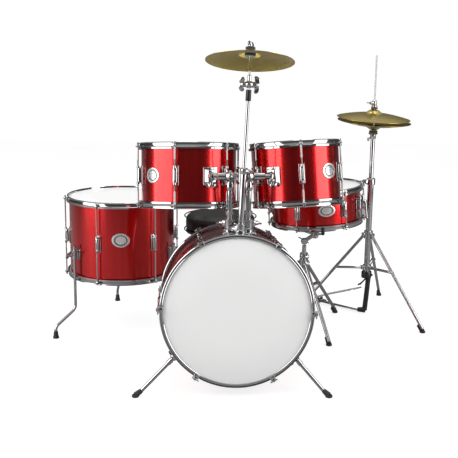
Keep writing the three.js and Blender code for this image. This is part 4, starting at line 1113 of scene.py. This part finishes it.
piece("hihat_clutch_felts", bm, FELT, "hihat_pull_rod")

# Pedal frame: socket, offset column, shoe, wire radius rod and heel plate.
heel = pivot("hihat_pedal_press")
heel_floor = heel.copy()
heel_floor.z = 0
toe = placed(500, 741, 92)
run = (toe - heel)
run_flat = Vector((run.x, run.y, 0)).normalized()
across_board = run_flat.cross(Z)
socket_z = 150 * MM
bm = bmesh.new()
lathe(bm, [(10.85 * MM, socket_z - 12 * MM), (17.6 * MM, socket_z - 12 * MM), (18.4 * MM, socket_z - 10 * MM),
           (18.4 * MM, socket_z + 9 * MM), (16.6 * MM, socket_z + 12 * MM), (10.85 * MM, socket_z + 12 * MM)], m, 36)
column = rounded([hat_at + Vector((10.5, 10.5, 0)) * MM + Z * (socket_z - 8 * MM), hat_at + Vector((7, 14, 74)) * MM,
                  hat_at + Vector((3, 17, 10)) * MM], 20 * MM)
sweep(bm, column, 9 * MM, 24)
bar(bm, hat_at + Vector((6, 17, 11)) * MM, hat_at + Vector((-23, 20, 11)) * MM, 11 * MM, 8 * MM, 28, 2 * MM)
wall_bolt = hat_at + polar(18.4 * MM, -35) + Z * socket_z
bar(bm, wall_bolt - polar(1 * MM, -35), wall_bolt + polar(5 * MM, -35), 4.4 * MM, 4 * MM, 6)
piece("hihat_pedal_column", bm, BLACK_PAINT, "root", replaces="hihat_pedal_frame")
bm = bmesh.new()
floor_end = hat_at + Vector((-8, 18, 7)) * MM
heel_end = heel_floor + Z * 6 * MM
quarter = heel_floor.lerp(Vector((toe.x, toe.y, 0)), 0.25) + Z * 6 * MM
for side in (-1, 1):
    shift = across_board * side * 4 * MM
    sweep(bm, rounded([floor_end + shift, quarter + shift * 1.6, heel_end + shift * 1.6], 20 * MM), 2.2 * MM, 14)
plate_m = Matrix((run_flat, Z.cross(run_flat), Z)).transposed().to_4x4()
plate_m.translation = heel_floor + Z * 4 * MM
slab(bm, (46 * MM, 62 * MM, 4 * MM), plate_m @ Matrix.Translation((0, 0, -1 * MM)), 1.6 * MM)
for side in (-1, 1):
    slab(bm, (13 * MM, 4 * MM, 13 * MM), plate_m @ Matrix.Translation((0, side * 26 * MM, 5 * MM)), 1.6 * MM)
piece("hihat_heel_plate_and_rods", bm, CHROME, "root")

slope = run.normalized()
lift = across_board.cross(slope)
if lift.z < 0:
    lift = -lift
board_m = Matrix((slope, lift.cross(slope), lift)).transposed().to_4x4()
board_m.translation = heel


def footboard(name, body, node_name, m, length, wide, narrow, start, thickness=5 * MM):
    """Cast footboard: tapered outline, raised border, ribbed tread and a blank toe plate."""
    bm = bmesh.new()
    outline = []
    for i in range(25):
        t = i / 24
        half = (wide + (narrow - wide) * t ** 1.3) / 2
        half *= math.sqrt(max(0.0, 1 - max(0, (t - 0.9) / 0.1) ** 2 * 0.55)) * math.sqrt(1 - max(0, (0.08 - t) / 0.08) ** 2 * 0.4)
        outline.append((start + t * (length - start), half))
    ring = [Vector((x, h, 0)) for x, h in outline] + [Vector((x, -h, 0)) for x, h in reversed(outline)]
    middle = sum(ring, Vector()) / len(ring)
    levels = [(1.0, 0.0), (1.0, thickness * 0.8), (0.975, thickness), (0.93, thickness), (0.915, thickness * 0.66)]
    loops = []
    for share, z in levels:
        loops.append([bm.verts.new(Vector((middle.x + (p.x - middle.x) * (1 - (1 - share) * 0.45),
                                           p.y * share, z))) for p in ring])
    for a, b in zip(loops, loops[1:]):
        for i in range(len(ring)):
            j = (i + 1) % len(ring)
            bm.faces.new((a[i], a[j], b[j], b[i]))
    bm.faces.new(loops[0][::-1])
    bm.faces.new(loops[-1])
    ribs = 9
    for i in range(ribs):
        t = 0.2 + 0.44 * i / (ribs - 1)
        x = start + t * (length - start)
        half = (wide + (narrow - wide) * t ** 1.3) / 2 - 6 * MM
        slab(bm, (3 * MM, 2 * half, 1.6 * MM), Matrix.Translation((x, 0, thickness * 0.75)), 0.7 * MM)
    slab(bm, ((length - start) * 0.16, narrow * 0.5, 1.4 * MM),
         Matrix.Translation((start + 0.8 * (length - start), 0, thickness * 0.75)), 0.6 * MM)
    bar(bm, Vector((0, -wide / 2 + 1 * MM, 0)), Vector((0, wide / 2 - 1 * MM, 0)), 4.5 * MM, sides=24)
    for side in (-1, 1):
        slab(bm, (16 * MM, 9 * MM, 4 * MM), Matrix.Translation((8 * MM, side * wide * 0.3, 1.5 * MM)), 1.4 * MM)
    return piece(name, bm, SILVER, body, m, node_name)


footboard("hihat_ribbed_footboard", "hihat_footboard", "hihat_footboard", board_m @ Matrix.Translation((0, 0, 1.5 * MM)),
          run.length - 1 * MM, 62 * MM, 48 * MM, 6 * MM)

link_low, link_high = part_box("hihat_drive_link")
bm = bmesh.new()
bar(bm, hat_at + Z * (socket_z - 16 * MM), hat_at + Z * link_high.z, 3 * MM, sides=16)
yoke_top, yoke_low = hat_at + Z * (socket_z - 14 * MM), toe + Z * 18 * MM
sweep(bm, rounded([yoke_top, yoke_top.lerp(yoke_low, 0.5) - Z * 2 * MM, yoke_low], 8 * MM), 2.9 * MM, 16)
bar(bm, yoke_low - across_board * 8 * MM, yoke_low + across_board * 8 * MM, 3.2 * MM, sides=16)
piece("hihat_drive_rod", bm, BLACK_PAINT, "hihat_drive_link", replaces="hihat_drive_link")


# ------------------------------------------------------------------ bass drum pedal
base_low, base_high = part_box("kick_pedal_base")
axle = pivot("kick_beater_swing")
hinge = pivot("kick_pedal_press")
width = 90 * MM
post_x = width / 2 - 5 * MM
bm = bmesh.new()
slab(bm, (width, base_high.y - base_low.y, 6 * MM),
     Matrix.Translation((axle.x, (base_low.y + base_high.y) / 2, 3.2 * MM)), 2 * MM)
for side in (-1, 1):
    x = axle.x + side * post_x
    slab(bm, (9 * MM, 18 * MM, axle.z - 8 * MM), Matrix.Translation((x, axle.y, (axle.z - 8 * MM) / 2 + 5 * MM)), 2.2 * MM)
    slab(bm, (11 * MM, 30 * MM, 10 * MM), Matrix.Translation((x, axle.y, 10 * MM)), 2.4 * MM)
    lathe(bm, [(4.6 * MM, -5.2 * MM), (10.4 * MM, -5.2 * MM), (11.4 * MM, -4 * MM), (11.4 * MM, 4 * MM),
               (10.4 * MM, 5.2 * MM), (4.6 * MM, 5.2 * MM)], along(Vector((x, axle.y, axle.z)), Vector((x + 1, axle.y, axle.z))), 32)
    slab(bm, (8 * MM, 16 * MM, 16 * MM), Matrix.Translation((hinge.x + side * 34 * MM, hinge.y, 10 * MM)), 2.6 * MM)
    bar(bm, Vector((hinge.x + side * 30 * MM, hinge.y, hinge.z)), Vector((hinge.x + side * 39 * MM, hinge.y, hinge.z)),
        3.4 * MM, sides=18)
piece("kick_pedal_frame", bm, SILVER, "root", replaces="kick_pedal_base")
bm = bmesh.new()
hoop_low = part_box("bass_batter_hoop")[0].z
slab(bm, (44 * MM, 24 * MM, 3 * MM), Matrix.Translation((axle.x, base_low.y + 13 * MM, 7.6 * MM)), 1.2 * MM)
t_bolt = Vector((axle.x + 34 * MM, base_low.y + 14 * MM, 6 * MM))
bar(bm, t_bolt, t_bolt + Z * 14 * MM, 2.8 * MM, sides=16)
wing_bolt(bm, Matrix.Translation(t_bolt + Z * 10 * MM), 1.0, 2 * MM)
for x, y in ((-1, -1), (1, -1), (-1, 1), (1, 1)):
    spot = Vector((axle.x + x * 36 * MM, (base_low.y + base_high.y) / 2 + y * 92 * MM, 6 * MM))
    if y < 0 < x:
        continue
    lathe(bm, [(0, 0), (3.6 * MM, 0), (3.4 * MM, 1.2 * MM), (0, 2.2 * MM)], Matrix.Translation(spot), 18)
piece("kick_pedal_hoop_clamp", bm, CHROME, "root")

swing = Vector(joint("kick_beater_swing")["axis"])
back = math.radians(32)
shaft_dir = Vector((0, math.sin(back), math.cos(back)))
head_at = axle + shaft_dir * 115 * MM
face_dir = Vector((0, math.cos(back), -math.sin(back)))
bm = bmesh.new()
bar(bm, axle - X * (post_x + 4 * MM), axle + X * (post_x + 4 * MM), 4 * MM, sides=24)
bar(bm, axle - X * 9 * MM, axle + X * 9 * MM, 11 * MM, sides=40, edge=1.4 * MM)
bar(bm, axle + shaft_dir * 6 * MM, head_at + shaft_dir * 14 * MM, 3.4 * MM, sides=20)
wing_bolt(bm, along(axle + face_dir * 9 * MM, axle + face_dir * 18 * MM), 0.8, 3 * MM)
slab(bm, (6 * MM, 26 * MM, 5 * MM), Matrix.Translation(axle + X * (post_x + 6.5 * MM) + Y * 9 * MM), 1.6 * MM)
bar(bm, head_at + face_dir * 10 * MM, head_at + face_dir * 25 * MM, 6 * MM, 5 * MM, 24)
piece("kick_beater_shaft", bm, CHROME, "kick_beater", replaces="kick_beater")
bm = bmesh.new()
lathe(bm, [(0, -21.6 * MM), (18 * MM, -21.6 * MM), (22.4 * MM, -19 * MM), (24 * MM, -14 * MM), (24 * MM, 9 * MM),
           (20 * MM, 17 * MM), (10 * MM, 21 * MM), (0, 21.6 * MM)], along(head_at, head_at + face_dir), 56)
piece("kick_beater_felt", bm, PALE_FELT, "kick_beater", sharp=0)

board_dir = (Vector((hinge.x, axle.y + 6 * MM, 78 * MM)) - hinge)
board_len = board_dir.length
slope = board_dir.normalized()
lift = X.cross(slope)
if lift.z < 0:
    lift = -lift
board_m = Matrix((slope, lift.cross(slope), lift)).transposed().to_4x4()
board_m.translation = hinge
footboard("kick_ribbed_footboard", "kick_footboard", "kick_footboard", board_m @ Matrix.Translation((0, 0, 0.6 * MM)),
          board_len - 8 * MM, 56 * MM, 50 * MM, 6 * MM)

# Drive strap from the footboard's toe up to the cam, drawn on the cam's side of the gap.
bm = bmesh.new()
toe_end = hinge + slope * (board_len - 16 * MM) + lift * 5 * MM
cam_end = axle + Y * 10.8 * MM
strap = rounded([toe_end + Y * 12 * MM, toe_end + Y * 1 * MM + Z * 1.4 * MM, cam_end - Z * 6 * MM, cam_end + Z * 1 * MM,
                 axle + Vector((0, 6 * MM, 10 * MM))], 6 * MM)
for a, b in zip(strap, strap[1:]):
    if (b - a).length > 1e-5:
        slab(bm, (14 * MM, 1.8 * MM, (b - a).length + 0.8 * MM), along(a, b) @ Matrix.Translation((0, 0, (b - a).length / 2)), 0.4 * MM, 1)
piece("kick_drive_strap", bm, BLACK_PLASTIC, "kick_beater")

# Return spring beside the right post, hooked on the rocker above and an adjusting rod below.
bm = bmesh.new()
spring_x = axle.x + post_x + 11 * MM
turns, coil_low, coil_high = 17, 34 * MM, 84 * MM
coil = [Vector((spring_x + 5 * MM * math.cos(t * 2 * math.pi * turns / 340), axle.y + 20 * MM
                + 5 * MM * math.sin(t * 2 * math.pi * turns / 340), coil_low + (coil_high - coil_low) * t / 340))
        for t in range(341)]
sweep(bm, coil, 0.9 * MM, 8)
bar(bm, Vector((spring_x, axle.y + 20 * MM, coil_high)), Vector((spring_x, axle.y + 20 * MM, axle.z)), 1.1 * MM, sides=12)
bar(bm, Vector((spring_x, axle.y + 20 * MM, 12 * MM)), Vector((spring_x, axle.y + 20 * MM, coil_low + 4 * MM)), 2 * MM, sides=14)
slab(bm, (18 * MM, 12 * MM, 5 * MM), Matrix.Translation((spring_x - 6 * MM, axle.y + 19 * MM, 18 * MM)), 1.4 * MM)
hex_nut(bm, Matrix.Translation((spring_x, axle.y + 20 * MM, 20.6 * MM)), 4.2 * MM, 4 * MM)
piece("kick_return_spring", bm, STEEL, "root", sharp=0)


# ------------------------------------------------------------------ throne
seat_low, seat_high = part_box("throne_seat")
throne_at = Vector(((seat_low.x + seat_high.x) / 2, (seat_low.y + seat_high.y) / 2, 0))
seat_r = (seat_high.x - seat_low.x) / 2
tripod("throne", "root", "throne_tripod", throne_at, 13.2 * MM, 205 * MM, 110 * MM, 190 * MM, [90, 210, 330], 7 * MM)
tripod_low, tripod_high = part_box("throne_tripod")
bm = bmesh.new()
pipe(bm, throne_at + Z * 90 * MM, throne_at + Z * (tripod_high.z - 1 * MM), 13 * MM, 10.2 * MM, 36)
piece("throne_base_tube", bm, CHROME, "root")
clamp_collar("throne_clamp", "root", throne_at, 10.2 * MM, 17 * MM, tripod_high.z - 9 * MM, tripod_high.z + 6 * MM, -120)
low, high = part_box("throne_post")
bm = bmesh.new()
bar(bm, throne_at + Z * low.z, throne_at + Z * high.z, 9.5 * MM, sides=36)
piece("throne_post_tube", bm, CHROME, "throne_post", replaces="throne_post")


def seat_pad():
    """The cushion: a drum-shaped blank swollen by a short cloth simulation, then smoothed."""
    bottom, top = seat_low.z + 12 * MM, seat_high.z - 3.2 * MM
    r = seat_r - 4.2 * MM
    bm = bmesh.new()
    rows = [(0, bottom), (r * 0.5, bottom), (r - 8 * MM, bottom), (r - 2 * MM, bottom + 5 * MM),
            (r, bottom + 16 * MM), (r, top - 16 * MM), (r - 3.4 * MM, top - 6 * MM), (r - 12 * MM, top - 1.4 * MM),
            (r * 0.6, top), (r * 0.3, top), (0, top)]
    lathe(bm, rows, sides=96)
    pad = piece("throne_seat_pad", bm, VINYL, "throne_seat", Matrix.Translation(throne_at), "throne_seat", sharp=0)
    remesh = pad.modifiers.new("even", "REMESH")
    remesh.mode = "VOXEL"
    remesh.voxel_size = 5 * MM
    remesh.use_smooth_shade = True
    bpy.context.view_layer.update()
    apply_all(pad)
    rest = [v.co.copy() for v in pad.data.vertices]
    cloth = pad.modifiers.new("swell", "CLOTH")
    cloth.settings.use_pressure = True
    cloth.settings.uniform_pressure_force = 4
    cloth.settings.quality = 6
    cloth.settings.effector_weights.gravity = 0
    for frame_number in range(1, 21):
        bpy.context.scene.frame_set(frame_number)
    apply_all(pad)
    bpy.context.scene.frame_set(1)
    limit = 7 * MM
    for v, before in zip(pad.data.vertices, rest):
        moved = v.co - before
        if moved.length > limit:
            moved *= limit / moved.length
        spot = before + moved
        flat = spot.xy
        if flat.length > seat_r - 0.6 * MM:
            flat *= (seat_r - 0.6 * MM) / flat.length
        v.co = (flat.x, flat.y, min(max(spot.z, seat_low.z + 8 * MM), seat_high.z + 2.5 * MM))
    smooth = pad.modifiers.new("relax", "SMOOTH")
    smooth.factor, smooth.iterations = 0.5, 12
    subdivide = pad.modifiers.new("fine", "SUBSURF")
    subdivide.levels = subdivide.render_levels = 1
    apply_all(pad)
    pad.data.polygons.foreach_set("use_smooth", [True] * len(pad.data.polygons))
    return pad


def apply_all(obj):
    """Bakes an object's modifiers into its mesh."""
    baked = bpy.data.meshes.new_from_object(obj.evaluated_get(bpy.context.evaluated_depsgraph_get()))
    materials = [slot_.material for slot_ in obj.material_slots]
    obj.modifiers.clear()
    obj.data = baked
    baked.materials.clear()
    for material in materials:
        baked.materials.append(material)


pad = seat_pad()

# Piping round the top and bottom edges, the stitched side seam, the base board and its boss.
bm = bmesh.new()
for z, r in ((seat_high.z - 9 * MM, seat_r - 3.2 * MM), (seat_low.z + 17 * MM, seat_r - 3.0 * MM)):
    ring = [polar(r, 360 * i / 96, z) for i in range(97)]
    sweep(bm, ring, 2.1 * MM, 10)
piece("throne_seat_piping", bm, VINYL, "throne_seat", Matrix.Translation(throne_at), sharp=0)
bm = bmesh.new()
for z, r in ((seat_high.z - 6.4 * MM, seat_r - 5.2 * MM), (seat_low.z + 20 * MM, seat_r - 1.6 * MM)):
    stitches = 150
    for i in range(stitches):
        a, b = (polar(r, 360 * (i + t) / stitches, z) for t in (0.0, 0.62))
        bar(bm, a, b, 0.5 * MM, sides=6, edge=0.15 * MM)
piece("throne_seat_stitching", bm, THREAD, "throne_seat", Matrix.Translation(throne_at))
bm = bmesh.new()
under = seat_low.z
lathe(bm, [(0, under + 6 * MM), (seat_r - 14 * MM, under + 6 * MM), (seat_r - 9 * MM, under + 8 * MM),
           (seat_r - 8 * MM, under + 16 * MM), (0, under + 16 * MM)], Matrix.Translation(throne_at), 96)
piece("throne_seat_board", bm, BLACK_PLASTIC, "throne_seat")
bm = bmesh.new()
lathe(bm, [(0, under), (14 * MM, under), (16 * MM, under + 1.5 * MM), (18 * MM, under + 4 * MM), (29 * MM, under + 4.4 * MM),
           (30 * MM, under + 6.4 * MM), (0, under + 6.4 * MM)], Matrix.Translation(throne_at), 48)
for i in range(4):
    spot = throne_at + polar(24 * MM, 45 + 90 * i, under + 4.4 * MM)
    hex_nut(bm, along(spot, spot - Z), 3.6 * MM, 2.4 * MM)
piece("throne_seat_boss", bm, STEEL, "throne_seat")


# ------------------------------------------------------------------ floor, light and camera
def stage_floor():
    material, tree, shader = principled("pale_floor", Roughness=0.6, Specular_IOR_Level=0.2, Emission_Strength=0.80)
    place = add(tree, "TexCoord")
    cloud = add(tree, "TexNoise", Scale=1.3, Detail=3.0)
    tree.links.new(place.outputs["Object"], cloud.inputs["Vector"])
    tone = add(tree, "ValToRGB")
    tone.color_ramp.elements[0].color, tone.color_ramp.elements[1].color = (0.26, 0.26, 0.26, 1), (0.34, 0.34, 0.34, 1)
    tree.links.new(cloud.outputs["Fac"], tone.inputs[0])
    tree.links.new(tone.outputs[0], shader.inputs["Base Color"])
    seen = add(tree, "LightPath")
    tree.links.new(seen.outputs["Is Camera Ray"], shader.inputs["Emission Color"])
    bm = bmesh.new()
    bmesh.ops.create_grid(bm, x_segments=8, y_segments=8, size=5, matrix=Matrix.Translation((0, 1.2, -0.0006)))
    mesh = bpy.data.meshes.new("pale_floor")
    bm.to_mesh(mesh)
    bm.free()
    mesh.materials.append(material)
    floor = bpy.data.objects.new("pale_floor", mesh)
    bpy.context.scene.collection.objects.link(floor)


def area_light(name, place, target, size, watts):
    data = bpy.data.lights.new(name, "AREA")
    data.shape = "RECTANGLE"
    data.size, data.size_y = size
    data.energy = watts
    lamp = bpy.data.objects.new(name, data)
    lamp.location = place
    lamp.rotation_mode = "QUATERNION"
    lamp.rotation_quaternion = (Vector(target) - Vector(place)).to_track_quat("-Z", "Y")
    bpy.context.scene.collection.objects.link(lamp)


stage_floor()
area_light("left_softbox", (-2.3, -1.15, 1.25), (0, 0.1, 0.45), (2.3, 2.4), 66)
area_light("right_softbox", (2.1, -1.25, 1.2), (0, 0.1, 0.45), (1.5, 2.3), 46)
area_light("top", (0.1, 0.2, 3.0), (0, 0.1, 0.3), (2.0, 1.3), 20)


def studio_world():
    world = bpy.data.worlds.new("studio")
    world.use_nodes = True
    tree = world.node_tree
    place = add(tree, "TexCoord")
    split = add(tree, "SeparateXYZ")
    tree.links.new(place.outputs["Generated"], split.inputs[0])
    height = add(tree, "ValToRGB")
    ramp = height.color_ramp
    ramp.elements[0].position, ramp.elements[0].color = 0.0, (0.06, 0.06, 0.06, 1)
    ramp.elements[1].position, ramp.elements[1].color = 1.0, (0.9, 0.9, 0.9, 1)
    for position, tone in ((0.35, 0.12), (0.6, 0.55)):
        ramp.elements.new(position).color = (tone, tone, tone, 1)
    tree.links.new(split.outputs["Z"], height.inputs[0])
    seen = add(tree, "LightPath")
    white = add(tree, "Mix", data_type="RGBA")
    white.inputs[7].default_value = (1.0, 1.0, 1.0, 1)
    tree.links.new(seen.outputs["Is Camera Ray"], white.inputs[0])
    tree.links.new(height.outputs[0], white.inputs[6])
    tree.links.new(white.outputs[2], tree.nodes["Background"].inputs["Color"])
    tree.nodes["Background"].inputs["Strength"].default_value = 1.0
    bpy.context.scene.world = world


studio_world()

camera_data = bpy.data.cameras.new("camera")
camera_data.lens, camera_data.sensor_width = 66.81, 36
camera = bpy.data.objects.new("camera", camera_data)
camera.matrix_world = (Matrix.Translation(placed(-169.3, -2208.7, 929.5)) @ Matrix.Rotation(math.radians(-3.7), 4, "Z")
                       @ Matrix.Rotation(math.radians(90 - 11.76), 4, "X") @ Matrix.Rotation(math.radians(0.8), 4, "Z"))
bpy.context.scene.collection.objects.link(camera)
bpy.context.scene.camera = camera
bpy.context.scene.view_settings.view_transform = "Standard"
